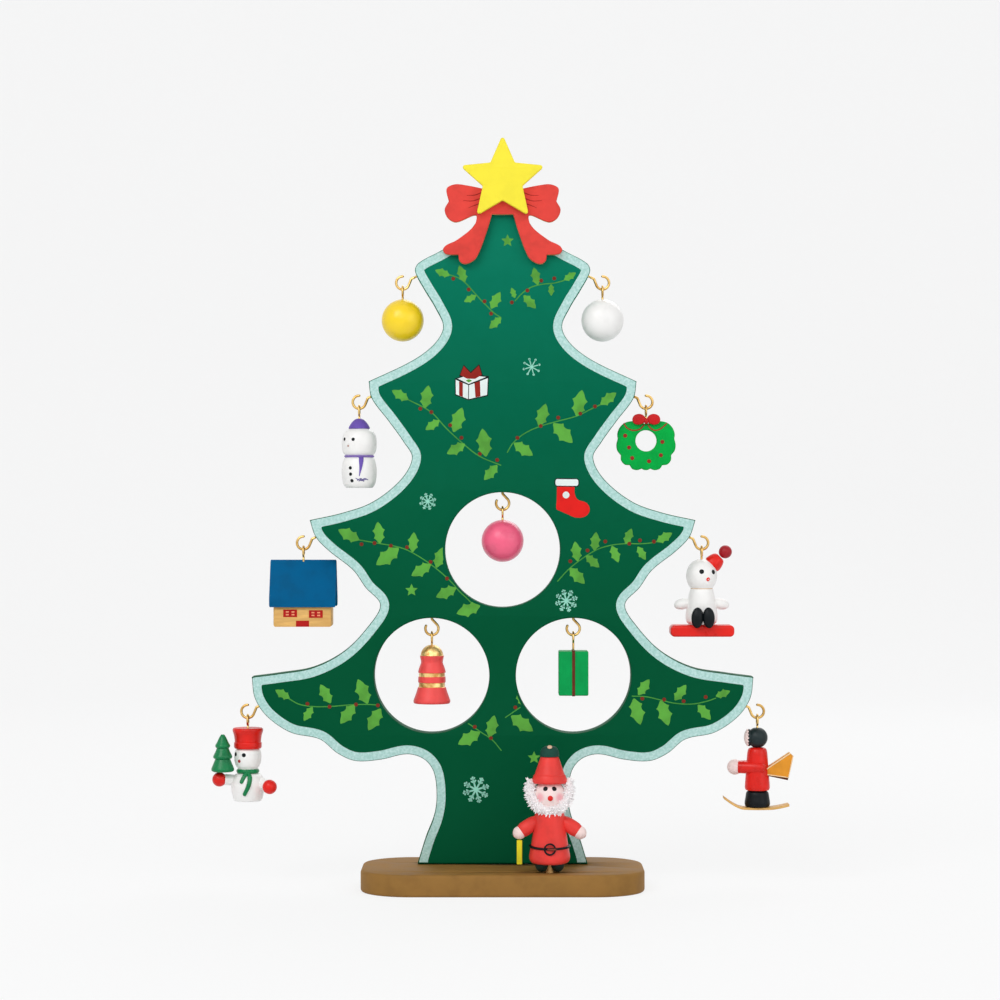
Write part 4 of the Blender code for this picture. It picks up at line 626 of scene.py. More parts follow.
# The board's print goes from a deep green in the lower third to a blue green at the top
BOARD_PRINT = [(0.36, (0, 83, 51)), (0.56, (0, 93, 62)), (0.77, (0, 105, 77)), (0.95, (6, 121, 95))]
BOARD_DRIFT = 0.05
BOARD_ROUGHNESS = (0.56, 0.46)
BOARD_SHINE = 0.04
BOARD_BUMP = 0.00002
SKIN_COLOUR = (253, 230, 227)
BLUSH_COLOUR = (250, 182, 188)
BLUSH_REACH = (0.0026, 0.0006)
SKIN_SHINE = 0.2
SKIN_ROUGHNESS = (0.50, 0.40)
SKIN_BUMP = 0.00002
DRIFT_SCALE = 150.0
DRIFT_STOPS = ((0.34, -1.0), (0.50, 0.0), (0.68, 0.5))
BRUSH_MARKS = (900.0, 4.0, (1.0, 1.0, 0.25))
NOISE_SPAN = (0.3, 0.7)
SHADER_INPUTS = {"colour": "Base Color", "roughness": "Roughness", "metal": "Metallic",
                 "shine": "Specular IOR Level", "coat": "Coat Weight", "coat_roughness": "Coat Roughness"}
# Finishes that follow one pattern: the scale, detail, stretch and distortion of its noise, its stops
# of position, colour and share lighter, its roughness, the depth of its bump and its other values
PATTERNS = {
    "natural_wood": ((620.0, 5.0, (1.0, 1.0, 0.08), 0.6),
                     [(0.30, (196, 140, 78), 0.0), (0.50, (236, 190, 118), -0.04),
                      (0.72, (236, 190, 118), 0.05)],
                     (0.58, 0.44), 0.00008, {}),
    "house_wood": ((620.0, 5.0, (0.10, 1.0, 1.0), 0.6),
                   [(0.30, (212, 158, 82), 0.0), (0.50, (228, 178, 98), -0.04),
                    (0.72, (228, 178, 98), 0.05)],
                   (0.58, 0.44), 0.00008, {}),
    "brass_wire": ((300.0,), [(0.30, (190, 146, 76), 0.0), (0.62, (232, 196, 124), 0.0)],
                   (0.34, 0.24), 0.000008, {"metal": 1.0}),
    "gold_leaf": ((500.0, 4.0), [(0.34, (206, 150, 78), 0.0), (0.60, (250, 216, 142), 0.0)],
                  (0.45, 0.28), 0.00004, {"metal": 0.65}),
    "frost": ((1100.0, 4.0),
              [(0.34, (166, 210, 202), 0.0), (0.50, (180, 219, 214), 0.0), (0.68, (200, 231, 227), 0.0)],
              (0.60, 0.45), 0.00006, {"shine": 0.2}),
}
ROUGHNESS_DRIFT = 0.06

# Printed vines. Each has its stem, its leaves from base to tip and its berries.
VINE_PIXELS = [
    ([(442.1, 275.5), (451, 278.4), (457.4, 282.8), (465.1, 290.8), (472.7, 299.1), (481.6, 308),
      (488, 313.8), (494.1, 317.6)],
     [((442.1, 276.1), (427.7, 271)), ((457.4, 282.5), (451.7, 266)), ((468.9, 295.9), (457, 302.3)),
      ((484.2, 308.6), (493.1, 292.1)), ((494.1, 317.6), (482.7, 328.7))],
     [(445.9, 279.3), (461.5, 289.9), (477.4, 301.6), (484.2, 313.8)]),
    ([(507.8, 301), (514.8, 293.3), (523.7, 287), (535.2, 283.8), (546.7, 282.5), (556.9, 279.7)],
     [((507.8, 297.8), (504.3, 287.6)), ((516.7, 295.3), (528.8, 308)), ((530.4, 284.4), (526.3, 267.2)),
      ((543.9, 283.8), (544.1, 295.3)), ((556.9, 279.3), (568.4, 271.7))],
     [(504.8, 302.3), (520.2, 290.2), (533.9, 280.2), (546.9, 277.8)]),
    ([(402.2, 400.8), (424.9, 412.6), (440.7, 428.9), (456.5, 443.1), (474.3, 456.5), (496.1, 465.4)],
     [((402.2, 400.8), (386, 391.7)), ((419, 409), (422.5, 386.3)), ((433.8, 421.3), (420, 430.8)),
      ((448.2, 432.4), (456.5, 408.1)), ((459.5, 444.7), (441.7, 454.6)), ((480.7, 456.5), (476.9, 428.9)),
      ((492.1, 465.4), (479.3, 480.3))],
     [(414.6, 409.7), (425.7, 413), (444.7, 425.9), (456.1, 438.3), (474.7, 454.2), (492.1, 460.1)]),
    ([(502, 452.6), (507.9, 442.7), (519.8, 432.8), (535.6, 425.5), (549.4, 421.3), (571.2, 415),
      (587, 407.1), (595.9, 402.8)],
     [((508.9, 443.1), (527.7, 455.1)), ((533.6, 425.5), (540, 403.2)), ((548.1, 422.9), (567.2, 442.1)),
      ((571.2, 415), (576.1, 388.9)), ((594.9, 403.2), (610.3, 391.3))],
     [(512.1, 437.7), (535.2, 425.5), (552.6, 417), (574.6, 412.6), (589.2, 405.3)]),
    ([(354.7, 541.7), (373, 544.7), (392.9, 548), (406.1, 552.6), (426, 564.6), (442.6, 577.8),
      (455.9, 591.1), (470, 605.2)],
     [((354.7, 541.7), (334, 531.7)), ((375.8, 544.7), (373.5, 523.4)), ((394.5, 549.6), (372.5, 566.6)),
      ((408.6, 553), (409.8, 533.4)), ((426.8, 565.4), (407.8, 577)), ((432.7, 568.2), (438.9, 548)),
      ((452.5, 588.6), (432.7, 598.1)), ((476.6, 606), (453.4, 614.3))],
     [(357.5, 546), (370.5, 544.7), (386.9, 547.2), (403.1, 548.5), (426.8, 562.9), (443.4, 579.2)]),
    ([(553.8, 580.8), (566.1, 567.4), (582.1, 555), (594.8, 547.6), (607.6, 543.8), (621.6, 542.1),
      (635.7, 542.1), (645.9, 541.2), (652.9, 539.7)],
     [((566.1, 567.4), (581.1, 582.7)), ((573.8, 560.1), (570.9, 540.6)), ((582.3, 554.6), (595.5, 566.1)),
      ((590.4, 549.3), (592, 530.8)), ((608, 544.8), (614.6, 561)), ((621.6, 542.2), (627.4, 526.9)),
      ((633.8, 545.1), (641.8, 558.1)), ((652.9, 539.7), (667.9, 530.8))],
     [(566.5, 560.4), (583.6, 549.4), (601.2, 540.2), (625.2, 542.1), (635.9, 538.7), (649.9, 539.7)]),
    ([(286.7, 701.2), (296.6, 706.6), (310.4, 708.9), (328.8, 708.6), (347.1, 706.9), (365.5, 706.1),
      (378.5, 706.9)],
     [((287.4, 700.9), (273.2, 692.8)), ((310.4, 709.6), (302, 723.4)), ((328.5, 705.1), (318.1, 686.7)),
      ((352.5, 706.9), (338.7, 725.7)), ((365.5, 705.1), (355.6, 681)), ((378.5, 710.4), (366.7, 732.1))],
     [(305.4, 706.3), (327.6, 708.9), (354, 706.3), (375.9, 706.9)]),
    ([(629.6, 694.5), (644.3, 695), (658.6, 698), (672.9, 701.1), (690.7, 701.6), (705, 698.6),
      (713.9, 695.4)],
     [((631.8, 697.1), (638.6, 723)), ((636.3, 693.2), (647, 677.5)), ((658.6, 698.9), (666.6, 723.6)),
      ((672.9, 698), (683.9, 682.5)), ((696.1, 702.5), (708.9, 717.1)), ((713.9, 693.6), (727.9, 688.2))],
     [(640.2, 696.8), (662.1, 697.5), (681.6, 698.9), (703.6, 694.5)]),
    ([(465.8, 723.4), (480, 732.9), (490.7, 740), (500, 750.7)],
     [((478, 732.6), (456.6, 744.9)), ((488, 737.3), (492.5, 715.4))],
     [(473, 727.2), (489.3, 738.2)]),
    ([(503.2, 717.7), (518.4, 707)],
     [((521, 705.2), (515.7, 690.9)), ((509.5, 715.9), (531.3, 730.7))],
     [(513.4, 707.3)]),
]
STAR_PRINT_PIXELS = [(499.7, 240.8), (408.1, 591.4), (532.7, 757.3)]
# Each snowflake has its centre, its radius and whether its arms end in barbs
SNOWFLAKE_PIXELS = [((525.3, 366.6), 8.0, False), ((423.2, 502.4), 8.6, True),
                    ((563, 599.9), 11.5, True), ((475, 790), 13.5, True)]
PARCEL_PIXELS = {
    "dark_ink": [[(448.6, 379.2), (462.6, 374.5), (482.8, 376.2), (482.2, 396.2), (462.7, 400.8),
                  (449.0, 395.8)],
                 [(452.9, 376.5), (457.4, 365.2), (464.5, 372.2), (473.0, 364.4), (476.8, 376.0),
                  (468.5, 380.2), (461.0, 380.2)]],
    "white_ink": [[(449.6, 380.4), (462.3, 385.6), (462.3, 399.6), (450.0, 394.9)],
                  [(463.1, 385.6), (481.7, 378.4), (481.2, 395.2), (463.1, 399.6)],
                  [(451.5, 379.2), (462.6, 375.6), (480.0, 377.2), (462.7, 384.4)]],
    "brown_ink": [[(453.0, 381.9), (456.8, 383.4), (456.9, 397.4), (453.3, 396.0)],
                  [(468.4, 383.4), (473.9, 381.3), (474.6, 396.6), (469.6, 397.9)],
                  [(454.0, 375.6), (457.6, 366.4), (464.6, 373.6), (472.7, 365.6), (475.6, 375.2),
                   (469.0, 379.2), (461.0, 379.2)]],
    "leaf_ink": [[(459.6, 381.0), (462.8, 379.6), (466.0, 381.0), (462.8, 383.0)]],
}
PRINT_INKS = ("leaf_ink", "stem_ink", "berry_ink", "mint_ink", "dark_ink", "white_ink", "brown_ink",
              "red_ink")
CUFF_PIXELS = [(550.7, 478.4), (573.5, 478.4), (573.5, 485.0), (550.7, 485.0)]
CUFF_ROUND_PIXELS = 2.0
CUFF_OUTLINE_PIXELS = 1.0
BOOT_PIXELS = [
    (552.3, 484.0, CORNER), (569.7, 484.0, CORNER), (570.3, 494.0), (573.3, 498.7), (581.6, 501.7),
    (585.2, 507.1), (584.0, 512.5), (579.2, 516.1), (570.9, 516.5), (563.7, 513.7), (555.3, 510.1),
    (552.0, 508.3), (552.1, 500.0),
]
PATCH_PIXELS = (561.4, 494.2)
PATCH_RADIUS = 0.0014
PATCH_STEPS = 24

# Camera and light
CAMERA_DISTANCE = 1.2
SENSOR_WIDTH = 36.0
FLOOR_COLOUR = (243, 244, 245)
FLOOR_GLOW = 0.80
FLOOR_ROUGHNESS = 0.9
FLOOR_SHINE = 0.1
GLOW_STRENGTH = 1.0
WORLD_LIGHT = 0.40
WORLD_SHOWN = 0.93
FLOOR_WIDTH = 6.0
FLOOR_FRONT = -3.0
WALL_START = 1.1
WALL_RADIUS = 0.6
WALL_HEIGHT = 3.0
WALL_STEPS = 24
# Each lamp has its place, its width and its power
LAMPS = {
    "key": ((-0.75, -1.15, 1.15), 0.9, 10.3),
    "fill": ((1.10, -1.00, 0.55), 1.1, 4.2),
    "sheen": ((0.05, -1.70, 0.95), 1.0, 4.3),
    "rim": ((0.35, 0.85, 0.90), 0.8, 3.6),
}


def shift(x=0.0, y=0.0, z=0.0):
    return Matrix.Translation((x, y, z))


def scaled(shares, across, along):
    """Turns a table of shares into points in metres and keeps the corner marks."""
    return [(x * across, z * along, *mark) for x, z, *mark in shares]


def mirrored(half):
    """Closes a half outline, listed from the top down, with its mirror image."""
    return half + [(-x, z, *mark) for x, z, *mark in reversed(half) if x > 0]


def smooth(points, steps, closed=False):
    """A dense line through points, smooth apart from the ones that are marked as corners."""
    places = [point.copy() if isinstance(point, Vector) else Vector(point[:2]) for point in points]
    sharp = [not isinstance(point, Vector) and len(point) > 2 for point in points]
    count = len(places)

    def pull(index, chord):
        if sharp[index] or (not closed and index in (0, count - 1)):
            return chord / 3
        before = places[index] - places[index - 1]
        after = places[(index + 1) % count] - places[index]
        return (before + after) * (chord.length / (before.length + after.length) / 3)

    line = []
    for index in range(count if closed else count - 1):
        end = (index + 1) % count
        chord = places[end] - places[index]
        line += interpolate_bezier(places[index], places[index] + pull(index, chord),
                                   places[end] - pull(end, chord), places[end], steps + 1)[:-1]
    return line if closed else line + [places[-1]]


def closed_outline(half_shares, half_width, height):
    """A smooth outline from the shares of its right half."""
    return smooth(mirrored(scaled(half_shares, half_width, height)), CURVE_STEPS, True)


def profile_of(shares, diameter, height, top=0.0):
    """The outer side of a turned piece, in metres, from its top down."""
    points = [(x, z + top, *mark) for x, z, *mark in scaled(shares, diameter / 2, height)]
    return smooth(points, PROFILE_STEPS)


def lowered(places, top):
    """Places that are given from a figure's top, in the frame of its eye."""
    return [(x, top + z) for x, z in places]


def polar(radius, turned, centre=(0.0, 0.0)):
    return (centre[0] + radius * math.cos(turned), centre[1] + radius * math.sin(turned))


def circle(radius, steps, centre=(0.0, 0.0)):
    return [polar(radius, 2 * math.pi * step / steps, centre) for step in range(steps)]


def rounded_polygon(corners, radius, steps=CORNER_STEPS):
    """Replaces each corner of a polygon by an arc of the given radius."""
    points = []
    for index, (x, y) in enumerate(corners):
        before = corners[index - 1]
        after = corners[(index + 1) % len(corners)]
        to_before = math.atan2(before[1] - y, before[0] - x)
        to_after = math.atan2(after[1] - y, after[0] - x)
        opening = math.remainder(to_after - to_before, 2 * math.pi)
        middle = to_before + opening / 2
        centre = polar(radius / abs(math.sin(opening / 2)), middle, (x, y))
        half_sweep = math.copysign(math.pi / 2 - abs(opening) / 2, opening)
        points += [polar(radius, middle + math.pi + half_sweep * (1 - 2 * step / steps), centre)
                   for step in range(steps + 1)]
    return points


def rectangle(width, depth, centre=(0.0, 0.0)):
    signs = ((-1, -1), (1, -1), (1, 1), (-1, 1))
    return [(centre[0] + x * width / 2, centre[1] + y * depth / 2) for x, y in signs]


def star_corners(radius, centre=(0.0, 0.0)):
    reaches = (radius, radius * STAR_INNER_SHARE)
    return [polar(reaches[corner % 2], math.pi / 2 + math.pi * corner / 5, centre) for corner in range(10)]


def wound(points, anticlockwise=True):
    """The same loop, without repeated points, in the order asked for."""
    loop = [Vector(point[:2]) for point in points]
    loop = [point for index, point in enumerate(loop) if (point - loop[index - 1]).length > MERGE_DISTANCE]
    area = sum(loop[index - 1].cross(loop[index]) for index in range(len(loop)))
    return loop if (area > 0) == anticlockwise else loop[::-1]


def inset(points, distance):
    """Moves a loop to its left. Where its sides would cross, they meet instead."""
    if distance == 0:
        return list(points)
    loop = np.array([tuple(point) for point in points])
    ahead = np.roll(loop, -1, 0) - loop
    ahead /= np.linalg.norm(ahead, axis=1, keepdims=True)
    along = ahead + np.roll(ahead, 1, 0)
    spread_out = np.maximum(np.linalg.norm(along, axis=1, keepdims=True), MITRE_LIMIT)
    inner = loop + np.stack([-along[:, 1], along[:, 0]], 1) * (2 * distance / spread_out ** 2)
    gaps = np.linalg.norm(inner[:, None] - loop[None], axis=2).min(1)
    kept = np.flatnonzero(gaps > distance * KEPT_SHARE)
    order = np.arange(len(loop))
    across, up = (np.interp(order, kept, inner[kept, axis], period=len(loop)) for axis in (0, 1))
    return [Vector((x, y)) for x, y in zip(across, up)]


def softened(line, reach, spacing):
    """An open line, evenly spaced, with its corners eased over a reach."""
    points = np.array([tuple(point) for point in line])
    lengths = np.concatenate([[0.0], np.cumsum(np.linalg.norm(np.diff(points, axis=0), axis=1))])
    places = np.linspace(0.0, lengths[-1], int(lengths[-1] / spacing))
    even = np.stack([np.interp(places, lengths, points[:, axis]) for axis in (0, 1)], 1)
    for _ in range(round(2 * (reach / spacing) ** 2)):
        even[1:-1] = (even[:-2] + 2 * even[1:-1] + even[2:]) / 4
    return [Vector(point) for point in even]


class Shape:
    """Points and faces that build up into one mesh, each face with its finish."""

    def __init__(self):
        self.points = []
        self.faces = []
        self.finishes = []
        self.flats = []

    def add(self, points, faces, finishes, flats, at):
        first = len(self.points)
        self.points += [at @ Vector(point) for point in points]
        self.faces += [tuple(first + corner for corner in face) for face in faces]
        self.finishes += finishes
        self.flats += flats

    def mesh(self, name):
        mesh = bpy.data.meshes.new(name)
        mesh.from_pydata(self.points, [], self.faces)
        for polygon, finish, flat in zip(mesh.polygons, self.finishes, self.flats):
            polygon.material_index = finish
            polygon.use_smooth = not flat
        shape = bmesh.new()
        shape.from_mesh(mesh)
        bmesh.ops.recalc_face_normals(shape, faces=shape.faces)
        shape.to_mesh(mesh)
        shape.free()
        mesh.set_sharp_from_angle(angle=SHARP_ANGLE)
        return mesh


def skin(shape, rings, at, finishes=0):
    """Joins rings, each of the same number of points or of one, into a closed surface."""
    points, faces, marks, starts = [], [], [], []
    for ring in rings:
        starts.append(len(points))
        points += ring
    for index, (upper, lower) in enumerate(zip(rings, rings[1:])):
        top, bottom = starts[index], starts[index + 1]
        count = max(len(upper), len(lower))
        for step in range(count):
            following = (step + 1) % count
            corners = [top + step % len(upper), bottom + step % len(lower), bottom + following % len(lower),
                       top + following % len(upper)]
            face = list(dict.fromkeys(corners))
            if len(face) > 2:
                faces.append(face)
                marks.append(finishes[index] if isinstance(finishes, list) else finishes)
    shape.add(points, faces, marks, [False] * len(faces), at)


def turn(shape, profile, at=Matrix(), steps=TURN_STEPS, finish=0, bands=()):
    """Turns a profile, listed from its top down, about Z. Bands of it have a finish of their own."""
    line = list(profile)
    if line[0][0] > 0:
        line.insert(0, (0.0, line[0][1]))
    if line[-1][0] > 0:
        line.append((0.0, line[-1][1]))
    rings = []
    for radius, height in line:
        if radius <= 0:
            rings.append([(0.0, 0.0, height)])
        else:
            rings.append([(x, y, height) for x, y in circle(radius, steps)])
    marks = []
    for (_, upper), (_, lower) in zip(line, line[1:]):
        found = [mark for high, low, mark in bands if low < (upper + lower) / 2 < high]
        marks.append(found[0] if found else finish)
    skin(shape, rings, at, marks)


def hoop(shape, radius, section, at, finish=0, sag=0.0):
    """A closed band round Z with an oval section, lower at the front by its sag."""
    points, faces = [], []
    for step in range(TURN_STEPS):
        round_z = 2 * math.pi * step / TURN_STEPS
        drop = -sag * max(0.0, -math.sin(round_z))
        for x, z in circle(1.0, WIRE_STEPS):
            reach = radius + x * section[0] / 2
            points.append((reach * math.cos(round_z), reach * math.sin(round_z), z * section[1] / 2 + drop))
    for step in range(TURN_STEPS):
        here, there = step * WIRE_STEPS, (step + 1) % TURN_STEPS * WIRE_STEPS
        for corner in range(WIRE_STEPS):
            beside = (corner + 1) % WIRE_STEPS
            faces.append((here + corner, there + corner, there + beside, here + beside))
    shape.add(points, faces, [finish] * len(faces), [False] * len(faces), at)


def slab(shape, outline, thickness, edge=0.0, holes=(), at=UPRIGHT, finish=0, side_finish=None):
    """A flat cut-out, rounded over along its edges, with its outline in its own X and Y."""
    loops = [wound(outline)] + [wound(hole, False) for hole in holes]
    rises = [math.pi / 2 * step / ROUND_STEPS for step in range(ROUND_STEPS + 1)] if edge else [0.0]
    front = [(edge * (1 - math.cos(rise)), thickness / 2 - edge * (1 - math.sin(rise))) for rise in rises]
    levels = [(offset, -depth) for offset, depth in reversed(front)] + front
    last = len(levels) - 1
    points, faces, marks = [], [], []
    caps = {0: [], last: []}
    for loop in loops:
        start = len(points)
        count = len(loop)
        for level, (offset, depth) in enumerate(levels):
            ring = inset(loop, offset)
            if level in caps:
                caps[level].append((ring, start + level * count))
            points += [(point.x, point.y, depth) for point in ring]
        for level in range(last):
            here, there = start + level * count, start + (level + 1) * count
            on_side = side_finish is not None and level == len(front) - 1
            marks += [side_finish if on_side else finish] * count
            for step in range(count):
                following = (step + 1) % count
                faces.append((here + step, here + following, there + following, there + step))
    flats = [False] * len(faces)
    for rings in caps.values():
        numbers = [first + step for ring, first in rings for step in range(len(ring))]
        for corners in tessellate_polygon([[point.to_3d() for point in ring] for ring, _ in rings]):
            faces.append(tuple(numbers[corner] for corner in corners))
            marks.append(finish)
            flats.append(True)
    shape.add(points, faces, marks, flats, at)


def tube(shape, path, radii, at=Matrix(), steps=WIRE_STEPS, finish=0, wide=None, flatten=1.0, ends=True):
    """A rod along a path, with rounded ends. Wide is where a flattened one is broad."""
    last = len(path) - 1
    radii = list(radii) if isinstance(radii, (list, tuple)) else [radii] * len(path)
    stations = [(point, radius, (path[min(index + 1, last)] - path[max(index - 1, 0)]).normalized())
                for index, (point, radius) in enumerate(zip(path, radii))]
    if ends:
        def cap(station, sign):
            point, radius, tangent = station
            return [(point + tangent * (sign * radius * math.sin(rise)), radius * math.cos(rise), tangent)
                    for rise in TUBE_CAP_RISES]

        stations = cap(stations[0], -1) + stations + cap(stations[-1], 1)[::-1]
    across = wide or Vector((0.0, 0.0, 1.0)).cross(stations[0][2])
    if across.length < LEAST_SINE:
        across = ACROSS
    rings = []
    for centre, radius, tangent in stations:
        across = (across - tangent * across.dot(tangent)).normalized()
        up = tangent.cross(across) * flatten
        if radius < MERGE_DISTANCE:
            rings.append([centre])
        else:
            rings.append([centre + across * (radius * x) + up * (radius * y) for x, y in circle(1.0, steps)])
    skin(shape, rings, at, finish)


def ball_side(diameter, upper=90, lower=-90, centre=0.0, steps=SIDE_STEPS):
    """The outer side of a ball between two latitudes in degrees, from the upper one down."""
    turns = [math.radians(upper + (lower - upper) * step / steps) for step in range(steps + 1)]
    return [(max(0.0, diameter / 2 * math.cos(turned)), centre + diameter / 2 * math.sin(turned))
            for turned in turns]


def flat_ball_side(diameter, height, centre):
    """The outer side of a ball that is cut flat above and below to a height."""
    latitude = math.degrees(math.asin(height / diameter))
    return ball_side(diameter, latitude, -latitude, centre)


def ellipsoid(shape, size, at, steps=ELLIPSOID_STEPS):
    """A ball of one diameter, or squeezed to three sizes."""
    sizes = size if isinstance(size, tuple) else (size, size, size)
    profile = [(0.0 if abs(radius) < MERGE_DISTANCE else radius, height)
               for radius, height in ball_side(1.0, steps=ELLIPSOID_RISES)]
    turn(shape, profile, at @ Matrix.Diagonal((*sizes, 1.0)), steps)


def spread(values, count, scale=1.0):
    """A list of values stretched to another count, and scaled."""
    places = np.linspace(0, len(values) - 1, count)
    return [scale * float(value) for value in np.interp(places, range(len(values)), values)]


def radius_at(profile, height):
    """The outer radius of a profile at a height."""
    for (radius, z), (next_radius, next_z) in zip(profile, profile[1:]):
        if next_z <= height <= z and next_z < z:
            return radius + (next_radius - radius) * (z - height) / (z - next_z)
    return profile[-1][0]


def front_of(profile, x, height):
    """The place on the front of a turned piece, and the direction in which its surface faces."""
    radius = radius_at(profile, height)
    lean = (radius_at(profile, height + GAP) - radius_at(profile, height - GAP)) / (2 * GAP)
    y = -math.sqrt(max(radius ** 2 - x ** 2, 0.0))
    return Vector((x, y, height)), Vector((x / radius, y / radius, -lean)).normalized()


def stud(shape, place, outward, radius, height, at=Matrix(), finish=0):
    """A low domed dot on a surface."""
    rises = [math.pi / 2 * step / DOT_RISES for step in range(DOT_RISES, -1, -1)]
    profile = [(radius * math.cos(rise), height * math.sin(rise)) for rise in rises]
    profile[0] = (0.0, height)
    facing = at @ Matrix.Translation(place) @ outward.to_track_quat("Z", "Y").to_matrix().to_4x4()
    turn(shape, profile + [(radius, -height), (0.0, -height)], facing, DOT_STEPS, finish)


def front_line(profile, places, stand_off):
    """A path over the front of a turned piece."""
    line = []
    for x, height in places:
        place, outward = front_of(profile, x, height)
        line.append(place + outward * stand_off)
    return smooth(line, LINE_STEPS)


def drawn(places):
    """A smooth line on a flat front through places across and up."""
    return [point.to_2d() for point in smooth([Vector((x, z, 0.0)) for x, z in places], DRAWN_STEPS)]


def stroke(path, start_width, end_width=None):
    """The outline of a drawn line."""
    end_width = start_width if end_width is None else end_width
    left, right = [], []
    last = len(path) - 1
    for index, point in enumerate(path):
        along = (path[min(index + 1, last)] - path[max(index - 1, 0)]).normalized()
        half = (start_width + (end_width - start_width) * index / last) / 2
        side = Vector((-along.y, along.x)) * half
        left.append(point + side)
        right.append(point - side)
    return left + right[::-1]


def linear(channel):
    """Turns one display value of 0 to 255 into a linear one."""
    value = min(max(channel, 0), 255) / 255
    return value / 12.92 if value <= 0.04045 else ((value + 0.055) / 1.055) ** 2.4


def shade(colour, share=0.0):
    """A display colour made lighter or darker by a share, as linear values."""
    return [linear(channel * (1 + share)) for channel in colour] + [1.0]


def add_node(tree, kind, inputs, **settings):
    """A node whose inputs take the values given, or are fed by the sockets given."""
    node = tree.nodes.new("ShaderNode" + kind)
    for name, value in settings.items():
        setattr(node, name, value)
    for name, value in inputs.items():
        if isinstance(value, bpy.types.NodeSocket):
            tree.links.new(value, node.inputs[name])
        else:
            node.inputs[name].default_value = value
    return node


def new_material(name, **values):
    """A material with its tree and its shader, whose inputs take the values given."""
    material = bpy.data.materials.new(name)
    material.use_nodes = True
    shader = material.node_tree.nodes["Principled BSDF"]
    for key, value in values.items():
        shader.inputs[SHADER_INPUTS[key]].default_value = value
    return material, material.node_tree, shader


def object_place(tree):
    return tree.nodes.new("ShaderNodeTexCoord").outputs["Object"]


def noise(tree, scale, detail=3.0, stretch=None, distortion=0.0):
    """Noise fixed to the object, stretched along the axes whose value is below 1."""
    place = object_place(tree)
    if stretch is not None:
        place = add_node(tree, "Mapping", {"Vector": place, "Scale": stretch}).outputs["Vector"]
    inputs = {"Vector": place, "Scale": scale, "Detail": detail, "Distortion": distortion}
    return add_node(tree, "TexNoise", inputs).outputs[0]


def dress(tree, shader, factor, stops, gloss, roughness, height, depth):
    """Colours a shader through stops along one pattern, and sets its gloss and bump by two more."""
    ramp = add_node(tree, "ValToRGB", {"Fac": factor})
    elements = ramp.color_ramp.elements
    while len(elements) < len(stops):
        elements.new(1.0)
    for element, (position, colour) in zip(elements, stops):
        element.position = position
        element.color = colour
    tree.links.new(ramp.outputs["Color"], shader.inputs["Base Color"])
    span = {"From Min": NOISE_SPAN[0], "From Max": NOISE_SPAN[1],
            "To Min": roughness[0], "To Max": roughness[1]}
    rough = add_node(tree, "MapRange", {"Value": gloss, **span})
    tree.links.new(rough.outputs["Result"], shader.inputs["Roughness"])
    bump = add_node(tree, "Bump", {"Height": height, "Strength": 1.0, "Distance": depth})
    tree.links.new(bump.outputs["Normal"], shader.inputs["Normal"])


def painted(name, colour, roughness, shine, coat, drift, brush_depth):
    """Hand-laid paint: its colour and gloss drift a little and the brush leaves faint marks."""
    material, tree, shader = new_material(name, shine=shine, coat=coat, coat_roughness=COAT_ROUGHNESS)
    cloud = noise(tree, DRIFT_SCALE)
    stops = [(position, shade(colour, share * drift)) for position, share in DRIFT_STOPS]
    dress(tree, shader, cloud, stops, cloud, (roughness - ROUGHNESS_DRIFT, roughness + ROUGHNESS_DRIFT),
          noise(tree, *BRUSH_MARKS), brush_depth)
    return material


def patterned(name, pattern, stops, roughness, depth, values):
    """A finish whose colour, gloss and bump all follow one pattern."""
    material, tree, shader = new_material(name, **values)
    grain = noise(tree, *pattern)
    colours = [(position, shade(colour, share)) for position, colour, share in stops]
    dress(tree, shader, grain, colours, grain, roughness, grain, depth)
    return material


def board_print(name):
    """Green print that turns lighter and bluer towards the top of the board."""
    material, tree, shader = new_material(name, shine=BOARD_SHINE)
    axes = add_node(tree, "SeparateXYZ", {"Vector": object_place(tree)})
    span = {"From Min": FOOT_Z, "From Max": FOOT_Z + TREE_HEIGHT}
    height = add_node(tree, "MapRange", {"Value": axes.outputs["Z"], **span})
    cloud = noise(tree, DRIFT_SCALE)
    drift = add_node(tree, "Math", {0: cloud, 1: BOARD_DRIFT, 2: height.outputs["Result"]},
                     operation="MULTIPLY_ADD")
    stops = [(share, shade(colour)) for share, colour in BOARD_PRINT]
    marks = noise(tree, *BRUSH_MARKS)
    dress(tree, shader, drift.outputs[0], stops, cloud, BOARD_ROUGHNESS, marks, BOARD_BUMP)
    return material


def blushed(name, spots):
    """Pale skin with a soft blush round each spot."""
    material, tree, shader = new_material(name, shine=SKIN_SHINE)
    place = object_place(tree)
    distances = [add_node(tree, "VectorMath", {0: place, 1: spot}, operation="DISTANCE").outputs["Value"]
                 for spot in spots]
    nearest = add_node(tree, "Math", dict(enumerate(distances)), operation="MINIMUM").outputs[0]
    span = {"From Min": BLUSH_REACH[0], "From Max": BLUSH_REACH[1]}
    blush = add_node(tree, "MapRange", {"Value": nearest, **span}, interpolation_type="SMOOTHSTEP")
    dress(tree, shader, blush.outputs["Result"], [(0.0, shade(SKIN_COLOUR)), (1.0, shade(BLUSH_COLOUR))],
          noise(tree, DRIFT_SCALE), SKIN_ROUGHNESS, noise(tree, BRUSH_MARKS[0]), SKIN_BUMP)
    return material


def santa_cheek(side):
    """The middle of a cheek, on the front of Santa's head."""
    middle = BASE_THICKNESS + GAP + SANTA_BOOT_HEIGHT + GAP + COAT_HEIGHT + GAP + SANTA_HEAD_HEIGHT / 2
    x, z = SANTA_CHEEK[0] * side, SANTA_CHEEK[1]
    depth = math.sqrt((SANTA_HEAD_DIAMETER / 2) ** 2 - x * x - z * z)
    return (SANTA_X + x, SANTA_Y - depth, middle + z)


